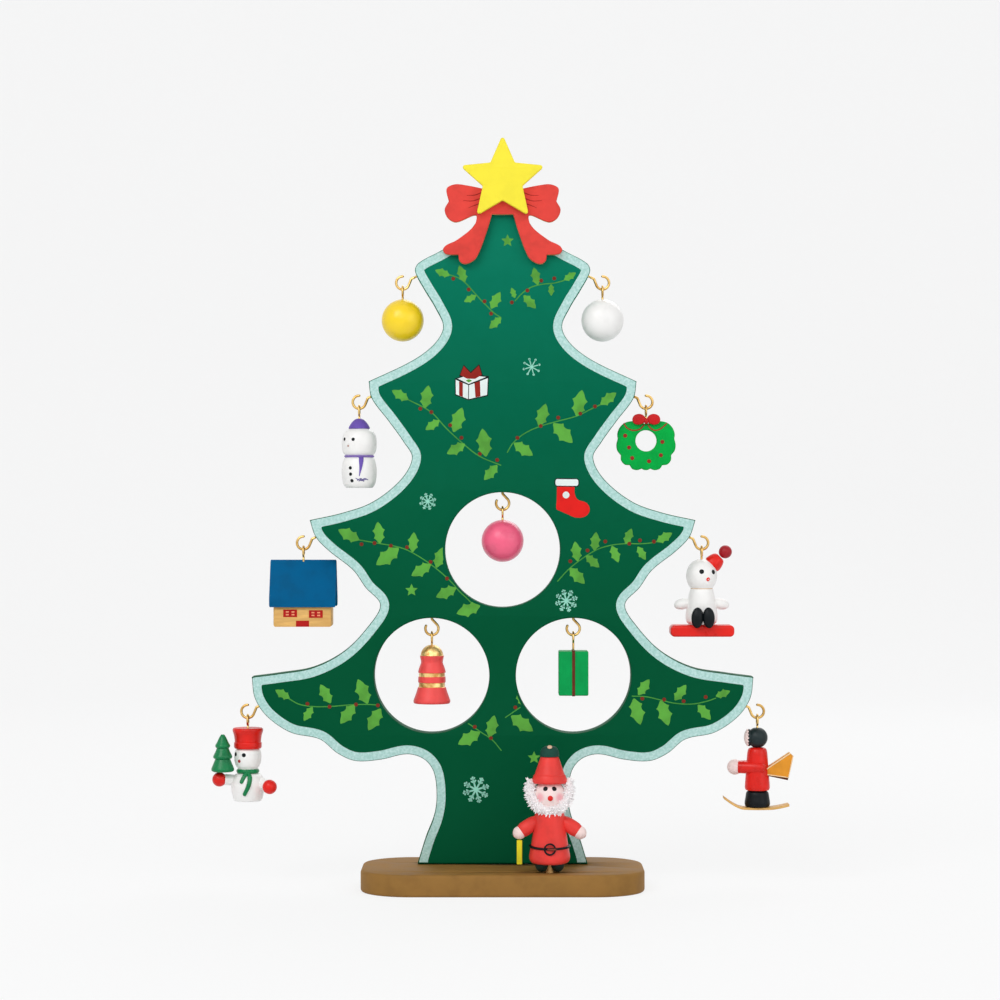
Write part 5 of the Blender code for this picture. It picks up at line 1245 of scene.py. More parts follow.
def make_finishes():
    made = {name: painted(name, *looks) for name, looks in PAINTS.items()}
    made.update({name: patterned(name, *looks) for name, looks in PATTERNS.items()})
    made["board_green"] = board_print("board_green")
    made["skin_paint"] = blushed("skin_paint", [santa_cheek(side) for side in (-1, 1)])
    return made


def add_piece(name, body, shape, *finishes, slot=None, node=None):
    """Makes a piece of a shape, in its place, and lets it ride on its body."""
    piece = bpy.data.objects.new(name, shape.mesh(name))
    bpy.context.scene.collection.objects.link(piece)
    for finish in finishes:
        piece.data.materials.append(MATERIALS[finish])
    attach(piece, body)
    slot = slot or finishes[0]
    if node:
        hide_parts(node)
    return piece


def bore(piece, cutter):
    """Cuts a shape out of a piece."""
    tool = bpy.data.objects.new("cutter", cutter.mesh("cutter"))
    bpy.context.scene.collection.objects.link(tool)
    modifier = piece.modifiers.new("bore", "BOOLEAN")
    modifier.object = tool
    modifier.solver = "EXACT"
    bpy.context.view_layer.update()
    piece.data = bpy.data.meshes.new_from_object(piece.evaluated_get(bpy.context.evaluated_depsgraph_get()))
    piece.modifiers.clear()
    bpy.data.objects.remove(tool, do_unlink=True)


def socket(shape, diameter, high, low, at):
    """The cutter of a hole with room for a rod."""
    radius = diameter / 2 + GAP
    turn(shape, [(radius, high), (radius, low)], at, ROD_STEPS)


def rod_profile(diameter, low, high):
    """A rod with eased ends, listed from the top down."""
    radius = diameter / 2
    return [(radius - ROD_END_ROUND, high), (radius, high - ROD_END_ROUND), (radius, low + ROD_END_ROUND),
            (radius - ROD_END_ROUND, low)]


def build_stand():
    plate = Shape()
    outline = rounded_polygon(rectangle(BASE_WIDTH, BASE_DEPTH), BASE_CORNER_RADIUS, BASE_CORNER_STEPS)
    slab(plate, outline, BASE_THICKNESS, BASE_EDGE_ROUND, at=shift(z=BASE_THICKNESS / 2))
    base = add_piece("base_plate_painted", "stand", plate, "stand_brown", node="base_plate")
    sockets = Shape()
    places = [(side * DOWEL_SPACING / 2, TREE_Y, DOWEL_DIAMETER, DOWEL_SEAT) for _, side in SIDES]
    for x, y, diameter, depth in places + [(SANTA_X, SANTA_Y, PEG_DIAMETER, PEG_SEAT)]:
        low = BASE_THICKNESS - depth - GAP
        socket(sockets, diameter, BASE_THICKNESS * SOCKET_TOP_SHARE, low, shift(x, y))
    bore(base, sockets)
    for word, side in SIDES:
        rod = Shape()
        low = BASE_THICKNESS - DOWEL_SEAT
        profile = rod_profile(DOWEL_DIAMETER, low, low + DOWEL_LENGTH)
        turn(rod, profile, shift(side * DOWEL_SPACING / 2, TREE_Y), ROD_STEPS)
        add_piece("dowel_" + word + "_rod", "stand", rod, "natural_wood", node="dowel_" + word)


def tree_outline():
    return wound(closed_outline(TREE_OUTLINE_SHARES, TREE_HALF_WIDTH, TREE_HEIGHT))


def hole_centres():
    return scaled(HOLE_SHARES, TREE_HALF_WIDTH, TREE_HEIGHT)


def build_board():
    board = Shape()
    holes = [circle(HOLE_DIAMETER / 2, HOLE_STEPS, centre) for centre in hole_centres()]
    slab(board, tree_outline(), BOARD_THICKNESS, BOARD_EDGE_ROUND, holes,
         shift(0.0, TREE_Y, FOOT_Z) @ UPRIGHT)
    piece = add_piece("tree_board_painted", "tree", board, "board_green", node="tree_board")
    bores = Shape()
    for _, side in SIDES:
        socket(bores, DOWEL_DIAMETER, DOWEL_LENGTH - DOWEL_SEAT, -BORE_OVERRUN,
               shift(side * DOWEL_SPACING / 2, TREE_Y, FOOT_Z))
    bore(piece, bores)


def on_board(x, y):
    """The place on the board, across and up from its foot, of a pixel of the photograph."""
    across, down = x - PHOTO_FOOT[0], y - PHOTO_FOOT[1]
    return Vector((PIXEL * (across * math.cos(PHOTO_TILT) - down * math.sin(PHOTO_TILT)),
                   -PIXEL * (across * math.sin(PHOTO_TILT) + down * math.cos(PHOTO_TILT))))


def off_holes(point):
    """Moves a place that lies over one of the round holes out to its rim."""
    reach = HOLE_DIAMETER / 2 + HOLE_MARGIN
    for centre in hole_centres():
        away = point - Vector(centre[:2])
        if away.length < reach:
            return Vector(centre[:2]) + away.normalized() * reach
    return point


def stamp(shape, outline, relief=INK_RELIEF, at=None):
    """A printed patch on a flat front: a skin that stands proud by its relief."""
    plane = at or shift(0.0, BOARD_FRONT, FOOT_Z)
    depth = relief + INK_SINK
    slab(shape, outline, depth, at=plane @ shift(y=INK_SINK - depth / 2) @ UPRIGHT)


def build_border():
    outline = tree_outline()
    foot = min(point.y for point in outline)
    on_foot = [abs(point.y - foot) < MERGE_DISTANCE for point in outline]
    first = next(index for index in range(len(outline)) if on_foot[index - 1] and not on_foot[index])
    order = [(first + step) % len(outline) for step in range(on_foot.count(False))]
    lines = []
    for distance, reach in zip((BORDER_MARGIN, BORDER_MARGIN + BORDER_WIDTH), BORDER_SOFTENING):
        loop = inset(outline, distance)
        line = [loop[index] for index in order if loop[index].y > foot + BOARD_EDGE_ROUND]
        ends = [Vector((line[index].x, foot + BOARD_EDGE_ROUND)) for index in (0, -1)]
        lines.append(softened([ends[0]] + line + [ends[1]], reach, BORDER_SPACING))
    border = Shape()
    stamp(border, lines[0] + lines[1][::-1], BORDER_RELIEF)
    add_piece("snow_border", "tree", border, "frost")


def leaf_outline(base, tip):
    """A holly leaf from its base to its tip."""
    along = tip - base
    side = Vector((-along.y, along.x)) * LEAF_WIDTH_SHARE
    half = [(across, up, *mark) for up, across, *mark in LEAF_SHARES]
    other = [(-across, up, *mark) for across, up, *mark in reversed(half[:-1])]
    loop = smooth(half + other, LEAF_STEPS, True)
    return [off_holes(base + along * point.y + side * point.x) for point in loop]


def snowflake_arm(centre, radius, angle, barbed):
    """The strokes of one arm of a printed snowflake."""
    along = Vector((math.cos(angle), math.sin(angle)))
    tip = centre + along * radius
    strokes = [stroke([centre, tip], radius * SNOWFLAKE_ARM_SHARE)]
    if not barbed:
        return strokes + [circle(radius * SNOWFLAKE_TIP_SHARE, TIP_STEPS, tip)]
    width = radius * SNOWFLAKE_BARB_WIDTH_SHARE
    for share, length in SNOWFLAKE_BARB_SHARES:
        root = centre + along * (radius * share)
        for side in (-1, 1):
            barb = Matrix.Rotation(side * SNOWFLAKE_BARB_ANGLE, 2) @ along
            strokes.append(stroke([root, root + barb * (radius * length)], width))
    return strokes


def print_vines(prints):
    for stem, leaves, berries in VINE_PIXELS:
        line = smooth([on_board(*pixel).to_3d() for pixel in stem], LINE_STEPS)
        stamp(prints["stem_ink"], stroke([off_holes(point.to_2d()) for point in line], STEM_WIDTH))
        for base, tip in leaves:
            stamp(prints["leaf_ink"], leaf_outline(on_board(*base), on_board(*tip)), LEAF_LEVEL * INK_RELIEF)
        for berry in berries:
            spot = circle(BERRY_RADIUS, BERRY_STEPS, off_holes(on_board(*berry)))
            stamp(prints["berry_ink"], spot, BERRY_LEVEL * INK_RELIEF)


def print_snowflakes(prints):
    for pixel, radius, barbed in SNOWFLAKE_PIXELS:
        centre = on_board(*pixel)
        middle = circle(radius * PIXEL * SNOWFLAKE_MIDDLE_SHARE, BERRY_STEPS, centre)
        stamp(prints["mint_ink"], middle, OUTLINE_LEVEL * INK_RELIEF)
        for arm in range(SNOWFLAKE_ARMS):
            angle = 2 * math.pi * (arm + SNOWFLAKE_TURN_SHARE) / SNOWFLAKE_ARMS
            for outline in snowflake_arm(centre, radius * PIXEL, angle, barbed):
                stamp(prints["mint_ink"], outline)


def print_stocking(prints):
    """The stocking. A plain patch is in place of its motif."""
    cuff = rounded_polygon([on_board(*pixel) for pixel in CUFF_PIXELS], CUFF_ROUND_PIXELS * PIXEL)
    boot = [(*on_board(x, y), *mark) for x, y, *mark in BOOT_PIXELS]
    stamp(prints["red_ink"], smooth(boot, DRAWN_STEPS, True))
    stamp(prints["dark_ink"], inset(wound(cuff), -CUFF_OUTLINE_PIXELS * PIXEL), OUTLINE_LEVEL * INK_RELIEF)
    for outline in (cuff, circle(PATCH_RADIUS, PATCH_STEPS, on_board(*PATCH_PIXELS))):
        stamp(prints["white_ink"], outline, CUFF_LEVEL * INK_RELIEF)


def build_prints():
    prints = {name: Shape() for name in PRINT_INKS}
    print_vines(prints)
    for pixel in STAR_PRINT_PIXELS:
        stamp(prints["leaf_ink"], star_corners(STAR_PRINT_RADIUS, on_board(*pixel)))
    print_snowflakes(prints)
    for ink, outlines in PARCEL_PIXELS.items():
        for outline in outlines:
            stamp(prints[ink], [on_board(*pixel) for pixel in outline], PARCEL_LEVELS[ink] * INK_RELIEF)
    print_stocking(prints)
    for name, shape in prints.items():
        add_piece("print_" + name, "tree", shape, name)


def build_star_and_bow():
    bow_y = BOARD_FRONT - GAP - BOW_THICKNESS / 2
    bow_z = FOOT_Z + BOW_TOP_SHARE * TREE_HEIGHT
    bow = Shape()
    outline = closed_outline(BOW_OUTLINE_SHARES, BOW_HALF_WIDTH, BOW_HEIGHT)
    slab(bow, outline, BOW_THICKNESS, PLATE_EDGE_ROUND, at=shift(0.0, bow_y, bow_z) @ UPRIGHT, side_finish=1)
    add_piece("bow_cutout", "tree", bow, "bow_red", "cut_edge", node="bow")
    creases = Shape()
    for shares in BOW_CREASE_SHARES:
        for side in (-1, 1):
            path = drawn(scaled(shares, side * BOW_HALF_WIDTH, BOW_HEIGHT))
            stamp(creases, stroke(path, CREASE_WIDTH, CREASE_END_WIDTH),
                  at=shift(0.0, bow_y - BOW_THICKNESS / 2, bow_z))
    add_piece("bow_creases", "tree", creases, "crease_red")
    star = Shape()
    star_y = bow_y - BOW_THICKNESS / 2 - GAP - STAR_THICKNESS / 2
    slab(star, rounded_polygon(star_corners(STAR_RADIUS), STAR_TIP_ROUND), STAR_THICKNESS, PLATE_EDGE_ROUND,
         at=shift(0.0, star_y, FOOT_Z + STAR_HEIGHT_SHARE * TREE_HEIGHT) @ UPRIGHT)
    add_piece("star_cutout", "tree", star, "star_yellow", node="star")


def hook_places():
    """Each hook's circle centre across and up, the hand in which it bends and the lean of its shank."""
    places = []
    for across, up in SIDE_HOOK_SHARES:
        for side in (-1, 1):
            places.append((side * across * TREE_HALF_WIDTH, up * TREE_HEIGHT, -side, side * HOOK_LEAN))
    rise = HOLE_DIAMETER / 2 - HOOK_DROP
    return places + [(across, up + rise, 1, 0.0) for across, up in hole_centres()]


def threaded(distance):
    """The wire's radius at a distance from the hook's centre: its far end carries a screw thread."""
    if distance < THREAD_START:
        return HOOK_WIRE / 2
    return HOOK_WIRE / 2 * (1 - THREAD_DEPTH_SHARE * (1 + math.sin(2 * math.pi * distance / THREAD_PITCH)))


def build_hooks():
    end = HOOK_RADIUS * HOOK_BEND_SHARE
    heights = [HOOK_SHANK + (end - HOOK_SHANK) * step / SHANK_STEPS for step in range(SHANK_STEPS)]
    for name, (across, up, hand, lean) in zip(HOOK_NAMES, hook_places()):
        at = shift(across, TREE_Y, FOOT_Z + up) @ Matrix.Rotation(-lean, 4, "Y")
        bend = [Vector((0.0, 0.0, end))]
        for step in range(ARC_STEPS + 1):
            angle = 2 * math.pi * (HOOK_START_SHARE - HOOK_SWEEP_SHARE * step / ARC_STEPS)
            bend.append(Vector((hand * HOOK_RADIUS * math.cos(angle), 0.0, HOOK_RADIUS * math.sin(angle))))
        path = [Vector((0.0, 0.0, height)) for height in heights] + smooth(bend, ARC_FILL_STEPS)
        radii = [threaded(height) for height in heights]
        radii += [HOOK_WIRE / 2] * (len(path) - len(radii))
        wire = Shape()
        tube(wire, path, radii, at, HOOK_STEPS)
        add_piece("hook_" + name + "_wire", "tree", wire, "brass_wire", node="hook_" + name)


def ornament_top(neck=EYE_NECK):
    return -EYE_DROP - EYE_RADIUS - EYE_WIRE / 2 - neck


def hung(name):
    return Matrix.Translation(HINGES[name])


def add_eye(body, neck=EYE_NECK):
    """An ornament's screw eye: a ring round the hook, square to it, on its shank."""
    path = [Vector((0.0, 0.0, ornament_top(neck) - EYE_SCREW)),
            Vector((0.0, 0.0, -EYE_DROP - EYE_RADIUS * EYE_BEND_SHARE))]
    for step in range(ARC_STEPS + 1):
        angle = 2 * math.pi * (EYE_START_SHARE + EYE_SWEEP_SHARE * step / ARC_STEPS)
        path.append(Vector((0.0, EYE_RADIUS * math.cos(angle), -EYE_DROP + EYE_RADIUS * math.sin(angle))))
    wire = Shape()
    tube(wire, smooth(path, ARC_FILL_STEPS), EYE_WIRE / 2, hung(body))
    add_piece(body + "_eye", body, wire, "brass_wire")


def turned_piece(name, body, profile, *finishes, at, bands=(), **ties):
    shape = Shape()
    turn(shape, profile, at, bands=bands)
    add_piece(name, body, shape, *finishes, **ties)


def ball_piece(name, body, size, finish, at, **ties):
    shape = Shape()
    ellipsoid(shape, size, at)
    add_piece(name, body, shape, finish, **ties)


def slab_piece(name, body, outline, thickness, edge, finish, at, holes=(), **ties):
    shape = Shape()
    slab(shape, outline, thickness, edge, holes, at)
    add_piece(name, body, shape, finish, **ties)


def dotted(name, body, profile, places, radius, finish, at, height=None):
    """Painted dots on the front of a turned piece."""
    dots = Shape()
    for x, z in places:
        place, outward = front_of(profile, x, z)
        stud(dots, place, outward, radius, height or radius * DOT_HEIGHT_SHARE, at)
    add_piece(name, body, dots, finish)


def build_ball(name, finish):
    profile = ball_side(BALL_DIAMETER, centre=ornament_top() - BALL_DIAMETER / 2, steps=BALL_STEPS)
    turned_piece(name + "_turned", name, profile, finish, at=hung(name), node=name)
    add_eye(name)


def build_bell():
    top = ornament_top()
    bands = [(top + high * BELL_HEIGHT + GAP / 10, top + low * BELL_HEIGHT, 1)
             for high, low in BELL_GOLD_SHARES]
    turned_piece("bell_turned", "bell", profile_of(BELL_PROFILE_SHARES, BELL_DIAMETER, BELL_HEIGHT, top),
                 "bell_red", "gold_leaf", at=hung("bell"), bands=bands, node="bell")
    add_eye("bell")


def build_snowman():
    at = hung("snowman")
    top = ornament_top()
    hat = profile_of(SNOWMAN_HAT_SHARES, SNOWMAN_HAT_DIAMETER, SNOWMAN_HAT_HEIGHT, top)
    turned_piece("snowman_cap", "snowman", hat, "purple_paint", at=at, node="snowman_hat")
    top -= SNOWMAN_HAT_HEIGHT
    body = profile_of(SNOWMAN_PROFILE_SHARES, SNOWMAN_DIAMETER, SNOWMAN_HEIGHT, top)
    turned_piece("snowman_figure", "snowman", body, "white_paint", at=at, node="snowman_body")
    for part, places, radius, finish in (("eyes", SNOWMAN_EYES, EYE_DOT_RADIUS, "black_paint"),
                                         ("nose", [SNOWMAN_NOSE], NOSE_DOT_RADIUS, "nose_ink"),
                                         ("buttons", SNOWMAN_BUTTONS, BUTTON_RADIUS, "black_paint")):
        dotted("snowman_" + part, "snowman", body, lowered(places, top), radius, finish, at)
    scarf = Shape()
    neck_z = top + SNOWMAN_NECK_SHARE * SNOWMAN_HEIGHT
    hoop(scarf, radius_at(body, neck_z), SNOWMAN_SCARF_SECTION, at @ shift(z=neck_z))
    tail = front_line(body, lowered(SNOWMAN_TAIL, top), SNOWMAN_TAIL_STAND_OFF)
    tube(scarf, tail, spread(SNOWMAN_TAIL_WIDTHS, len(tail), 0.5), at, finish=1, wide=ACROSS,
         flatten=SNOWMAN_TAIL_FLATNESS)
    add_piece("snowman_scarf_paint", "snowman", scarf, "scarf_lilac", "purple_paint", slot="purple_paint",
              node="snowman_scarf")
    scribbles = Shape()
    for places in SNOWMAN_SCRIBBLES:
        tube(scribbles, front_line(body, lowered(places, top), 0.0), SCRIBBLE_RADIUS, at, SCRIBBLE_STEPS)
    add_piece("snowman_scribbles", "snowman", scribbles, "scribble_ink")
    add_eye("snowman")


def build_gift():
    at = hung("gift") @ shift(z=ornament_top(GIFT_NECK) - RIBBON_THICKNESS - GAP - GIFT_HEIGHT / 2)
    outline = rounded_polygon(rectangle(GIFT_WIDTH, GIFT_HEIGHT), GIFT_EDGE_ROUND)
    slab_piece("gift_box_painted", "gift", outline, GIFT_DEPTH, GIFT_EDGE_ROUND, "gift_green", at @ UPRIGHT,
               node="gift_box")
    outer = 2 * RIBBON_STAND_OFF
    outline = rounded_polygon(rectangle(GIFT_DEPTH + outer, GIFT_HEIGHT + outer), RIBBON_CORNER_RADIUS)
    hole = rounded_polygon(rectangle(GIFT_DEPTH - GAP, GIFT_HEIGHT - GAP), GIFT_EDGE_ROUND)
    slab_piece("gift_ribbon_band", "gift", outline, RIBBON_WIDTH, RIBBON_EDGE_ROUND, "ribbon_red",
               at @ SIDEWAYS, [hole], node="gift_ribbon")
    add_eye("gift", GIFT_NECK)


def build_wreath():
    at = hung("wreath") @ shift(z=ornament_top(WREATH_NECK) - WREATH_NOTCH_SHARE * WREATH_HEIGHT)
    middle = WREATH_HOLE_SHARE * WREATH_HEIGHT
    outline = closed_outline(WREATH_OUTLINE_SHARES, WREATH_HALF_WIDTH, WREATH_HEIGHT)
    hole = circle(WREATH_HOLE_DIAMETER / 2, WREATH_HOLE_STEPS, (0.0, middle))
    slab_piece("wreath_cutout", "wreath", outline, WREATH_THICKNESS, WREATH_EDGE_ROUND, "wreath_green",
               at @ UPRIGHT, [hole], node="wreath")
    front = -WREATH_THICKNESS / 2
    berries = Shape()
    for x, z in lowered(WREATH_BERRIES, middle):
        stud(berries, Vector((x, front, z)), FORWARD, WREATH_BERRY_RADIUS, WREATH_BERRY_HEIGHT, at)
    add_piece("wreath_berries", "wreath", berries, "berry_red")
    garlands = Shape()
    for places in WREATH_GARLANDS:
        stamp(garlands, stroke(drawn(lowered(places, middle)), GARLAND_WIDTH), GARLAND_RELIEF,
              at=at @ shift(y=front))
    add_piece("wreath_garlands", "wreath", garlands, "garland_red")
    bow = Shape()
    loops = closed_outline(WREATH_BOW_SHARES, WREATH_BOW_HALF_WIDTH, WREATH_BOW_HEIGHT)
    bow_at = at @ shift(y=front - GAP - WREATH_BOW_THICKNESS / 2, z=WREATH_HEIGHT - WREATH_BOW_OVERLAP)
    slab(bow, loops, WREATH_BOW_THICKNESS, PLATE_EDGE_ROUND, at=bow_at @ UPRIGHT)
    ellipsoid(bow, WREATH_KNOT_SIZE, bow_at @ shift(y=-WREATH_BOW_THICKNESS / 3, z=WREATH_BOW_HEIGHT / 3))
    add_piece("wreath_bow_cutout", "wreath", bow, "wreath_red", slot="red_paint", node="wreath_bow")
    add_eye("wreath", WREATH_NECK)


def build_house():
    at = hung("house")
    top = ornament_top(HOUSE_NECK)
    run = HOUSE_DEPTH / 2 + ROOF_OVERHANG
    slope = ROOF_RISE / run
    steepness = math.hypot(1, slope)
    peak = top - ROOF_THICKNESS * steepness
    eaves = peak - slope * run
    outside = eaves + ROOF_THICKNESS * steepness
    roof = [(0.0, top), (run, outside), (run, eaves), (0.0, peak), (-run, eaves), (-run, outside)]
    slab_piece("house_roof_painted", "house", roof, ROOF_WIDTH, HOUSE_EDGE_ROUND, "roof_blue", at @ SIDEWAYS,
               node="house_roof")
    half = HOUSE_DEPTH / 2
    wall_top = peak - GAP - slope * half
    foot = wall_top - HOUSE_WALL_HEIGHT
    walls = [(0.0, peak - GAP), (half, wall_top), (half, foot), (-half, foot), (-half, wall_top)]
    slab_piece("house_walls_bare", "house", walls, HOUSE_WIDTH, WALL_CORNER_ROUND, "house_wood",
               at @ SIDEWAYS, slot="natural_wood", node="house_walls")
    paint_house(at @ shift(0.0, -half, foot))
    add_eye("house", HOUSE_NECK)


def paint_house(face):
    """The door and the two windows with their panes."""
    frames = Shape()
    stamp(frames, rectangle(*DOOR_SIZE, DOOR_PLACE), FRAME_RELIEF, at=face)
    panes = Shape()
    for place in WINDOW_PLACES:
        stamp(frames, rectangle(*WINDOW_SIZE, place), FRAME_RELIEF, at=face)
        for across in (-0.5, 0.5):
            for up in (-0.5, 0.5):
                spot = (place[0] + across * WINDOW_PANE_SPACING[0], place[1] + up * WINDOW_PANE_SPACING[1])
                stamp(panes, rectangle(*WINDOW_PANE_SIZE, spot), PANE_RELIEF, at=face)
    add_piece("house_frames", "house", frames, "window_red")
    add_piece("house_panes", "house", panes, "pane_pink")


def limb_direction(side, tilt, forward):
    """Where a limb points: tilted out from straight down, then swung forward."""
    return Vector((side * math.sin(tilt) * math.cos(forward), -math.sin(tilt) * math.sin(forward),
                   -math.cos(tilt)))


def limb(shape, start, direction, length, diameter, at, tapers=LIMB_TAPER_SHARES, round_wrist=True):
    """A round arm from its shoulder to its wrist."""
    path = [start + direction * (length * step / (len(tapers) - 1)) for step in range(len(tapers))]
    radii = [diameter / 2 * taper for taper in tapers]
    if not round_wrist:
        path.append(path[-1] + direction * MERGE_DISTANCE * 10)
        radii.append(radii[-1] * CUT_WRIST_SHARE)
    tube(shape, path, radii, at, LIMB_STEPS)


def build_treeman():
    at = hung("treeman")
    top = ornament_top()
    hat = profile_of(TREEMAN_HAT_SHARES, TREEMAN_HAT_DIAMETER, TREEMAN_HAT_HEIGHT, top)
    turned_piece("treeman_cap", "treeman", hat, "red_paint", at=at, node="treeman_hat")
    top -= TREEMAN_HAT_HEIGHT
    body = profile_of(TREEMAN_PROFILE_SHARES, TREEMAN_DIAMETER, TREEMAN_HEIGHT, top)
    turned_piece("treeman_figure", "treeman", body, "white_paint", at=at, node="treeman_body")
    dotted("treeman_eyes", "treeman", body, lowered(TREEMAN_EYES, top), TREEMAN_EYE_RADIUS,
           "black_paint", at)
    dotted("treeman_mouth", "treeman", body, lowered([TREEMAN_MOUTH], top), TREEMAN_MOUTH_RADIUS,
           "dark_red_paint", at)
    scarf = Shape()
    neck_z = top + TREEMAN_NECK_SHARE * TREEMAN_HEIGHT
    hoop(scarf, radius_at(body, neck_z) + TREEMAN_SCARF_SLACK, TREEMAN_SCARF_SECTION, at @ shift(z=neck_z))
    for shares in TREEMAN_TAIL_SHARES:
        places = lowered(scaled(shares, TREEMAN_SCARF_TAIL, TREEMAN_SCARF_TAIL), neck_z)
        line = front_line(body, places, TREEMAN_TAIL_STAND_OFF)
        tube(scarf, line, spread(TREEMAN_TAIL_WIDTHS, len(line), 0.5), at, wide=ACROSS,
             flatten=TREEMAN_TAIL_FLATNESS)
    add_piece("treeman_scarf_knit", "treeman", scarf, "scarf_green", node="treeman_scarf")
    shoulder = top + TREEMAN_SHOULDER_SHARE * TREEMAN_HEIGHT
    build_treeman_arms(at, shoulder, TREEMAN_SHOULDER_INSET_SHARE * radius_at(body, shoulder))
    add_eye("treeman")


def build_treeman_arms(at, shoulder, inset_x):
    """The two arms with their mittens, and the little tree on the left one."""
    reach = TREEMAN_ARM_LENGTH + TREEMAN_MITTEN_DIAMETER * HAND_SEAT_SHARE
    for (word, side), angles in zip(SIDES, TREEMAN_ARM_ANGLES):
        direction = limb_direction(side, *angles)
        start = Vector((side * inset_x, 0.0, shoulder))
        sleeve = Shape()
        limb(sleeve, start, direction, TREEMAN_ARM_LENGTH, TREEMAN_ARM_DIAMETER, at)
        add_piece("treeman_sleeve_" + word, "treeman", sleeve, "white_paint", node="treeman_arm_" + word)
        ball_piece("treeman_mitten_" + word, "treeman", TREEMAN_MITTEN_DIAMETER, "red_paint",
                   at @ shift(*(start + direction * reach)))
    mitten_z = shoulder + limb_direction(-1, *TREEMAN_ARM_ANGLES[0]).z * reach
    tree_top = mitten_z + TREEMAN_MITTEN_DIAMETER / 2 + GAP + LITTLE_TREE_HEIGHT
    turned_piece("treeman_tree_turned", "treeman",
                 profile_of(LITTLE_TREE_SHARES, LITTLE_TREE_DIAMETER, LITTLE_TREE_HEIGHT), "scarf_green",
                 at=at @ shift(-LITTLE_TREE_OFFSET, -LITTLE_TREE_FORWARD, tree_top),
                 node="treeman_little_tree")


def build_soldier():
    at = hung("soldier")
    top = ornament_top()
    build_soldier_head(at, top - SOLDIER_HEAD_HEIGHT / 2)
    top -= SOLDIER_HEAD_HEIGHT
    body = profile_of(SOLDIER_BODY_SHARES, SOLDIER_BODY_DIAMETER, SOLDIER_BODY_HEIGHT, top)
    turned_piece("soldier_coat", "soldier", body, "red_paint", at=at, node="soldier_body")
    build_soldier_arms(at, top + SOLDIER_ARM_SHARE * SOLDIER_BODY_HEIGHT)
    boot_top = top - SOLDIER_BODY_HEIGHT - GAP
    boots = profile_of(SOLDIER_BOOT_SHARES, SOLDIER_BOOT_DIAMETER, SOLDIER_BOOT_HEIGHT, boot_top)
    turned_piece("soldier_boots_turned", "soldier", boots, "black_paint", at=at, node="soldier_boots")
    build_soldier_pack(at @ shift(PACK_START, 0.0, top + PACK_BOTTOM_SHARE * SOLDIER_BODY_HEIGHT))
    upper = smooth(scaled(ROCKER_LINE_SHARES, ROCKER_LENGTH, ROCKER_RISE), DRAWN_STEPS)
    lower = [point - Vector((0.0, ROCKER_THICKNESS)) for point in reversed(upper)]
    slab_piece("soldier_rocker_strip", "soldier", upper + lower, ROCKER_WIDTH, ROCKER_EDGE_ROUND,
               "house_wood", at @ shift(z=boot_top - SOLDIER_BOOT_HEIGHT - GAP) @ UPRIGHT,
               slot="natural_wood", node="soldier_rocker")
    add_eye("soldier")


def build_soldier_head(at, head_z):
    """The helmet with its brim, the face, which looks to the side, and the beads round it."""
    helmet = Shape()
    turn(helmet, flat_ball_side(SOLDIER_HEAD_DIAMETER, SOLDIER_HEAD_HEIGHT, head_z), at)
    brim = [Vector((0.0, SOLDIER_FACE_WIDTH / 2 * x, SOLDIER_FACE_HEIGHT / 2 * z)) * SOLDIER_BRIM_SIZE_SHARE
            for x, z in circle(1.0, BRIM_STEPS)]
    brim_at = at @ shift(-SOLDIER_BRIM_SHARE * SOLDIER_HEAD_DIAMETER, 0.0, head_z)
    tube(helmet, brim + [brim[0]], SOLDIER_BRIM_SECTION / 2, brim_at, BRIM_SECTION_STEPS, ends=False)
    add_piece("soldier_helmet", "soldier", helmet, "helmet_black", slot="black_paint", node="soldier_head")
    ball_piece("soldier_face", "soldier", (SOLDIER_FACE_DEPTH, SOLDIER_FACE_WIDTH, SOLDIER_FACE_HEIGHT),
               "skin_paint", at @ shift(-SOLDIER_FACE_SHARE * SOLDIER_HEAD_DIAMETER, 0.0, head_z))
    beads = Shape()
    for step in range(SOLDIER_BEADS):
        angle = math.radians(360 * (step + 0.5) / SOLDIER_BEADS)
        ellipsoid(beads, SOLDIER_BEAD_DIAMETER, at @ shift(
            -SOLDIER_BEAD_SHARE * SOLDIER_HEAD_DIAMETER, SOLDIER_FACE_WIDTH / 2 * math.sin(angle),
            head_z + SOLDIER_FACE_HEIGHT / 2 * math.cos(angle)), BEAD_STEPS)
    add_piece("soldier_beads", "soldier", beads, "hand_paint")


def build_soldier_arms(at, shoulder):
    """Two sleeves that meet in one hand."""
    reach = SOLDIER_ARM_LENGTH + SOLDIER_HAND_DIAMETER * SOLDIER_HAND_SEAT_SHARE
    toe_in = math.asin(SOLDIER_SHOULDER_OUT / reach)
    sleeves = Shape()
    for side in (-1, 1):
        start = Vector((SOLDIER_SHOULDER_BACK, side * SOLDIER_SHOULDER_OUT, shoulder))
        direction = limb_direction(-1, math.radians(90), side * toe_in)
        limb(sleeves, start, direction, SOLDIER_ARM_LENGTH, SOLDIER_ARM_DIAMETER, at,
             SOLDIER_ARM_TAPER_SHARES, round_wrist=False)
    add_piece("soldier_sleeves", "soldier", sleeves, "red_paint", node="soldier_arm")
    ball_piece("soldier_hand", "soldier", SOLDIER_HAND_DIAMETER, "hand_paint",
               at @ shift(SOLDIER_SHOULDER_BACK - reach * math.cos(toe_in), 0.0, shoulder),
               slot="skin_paint")


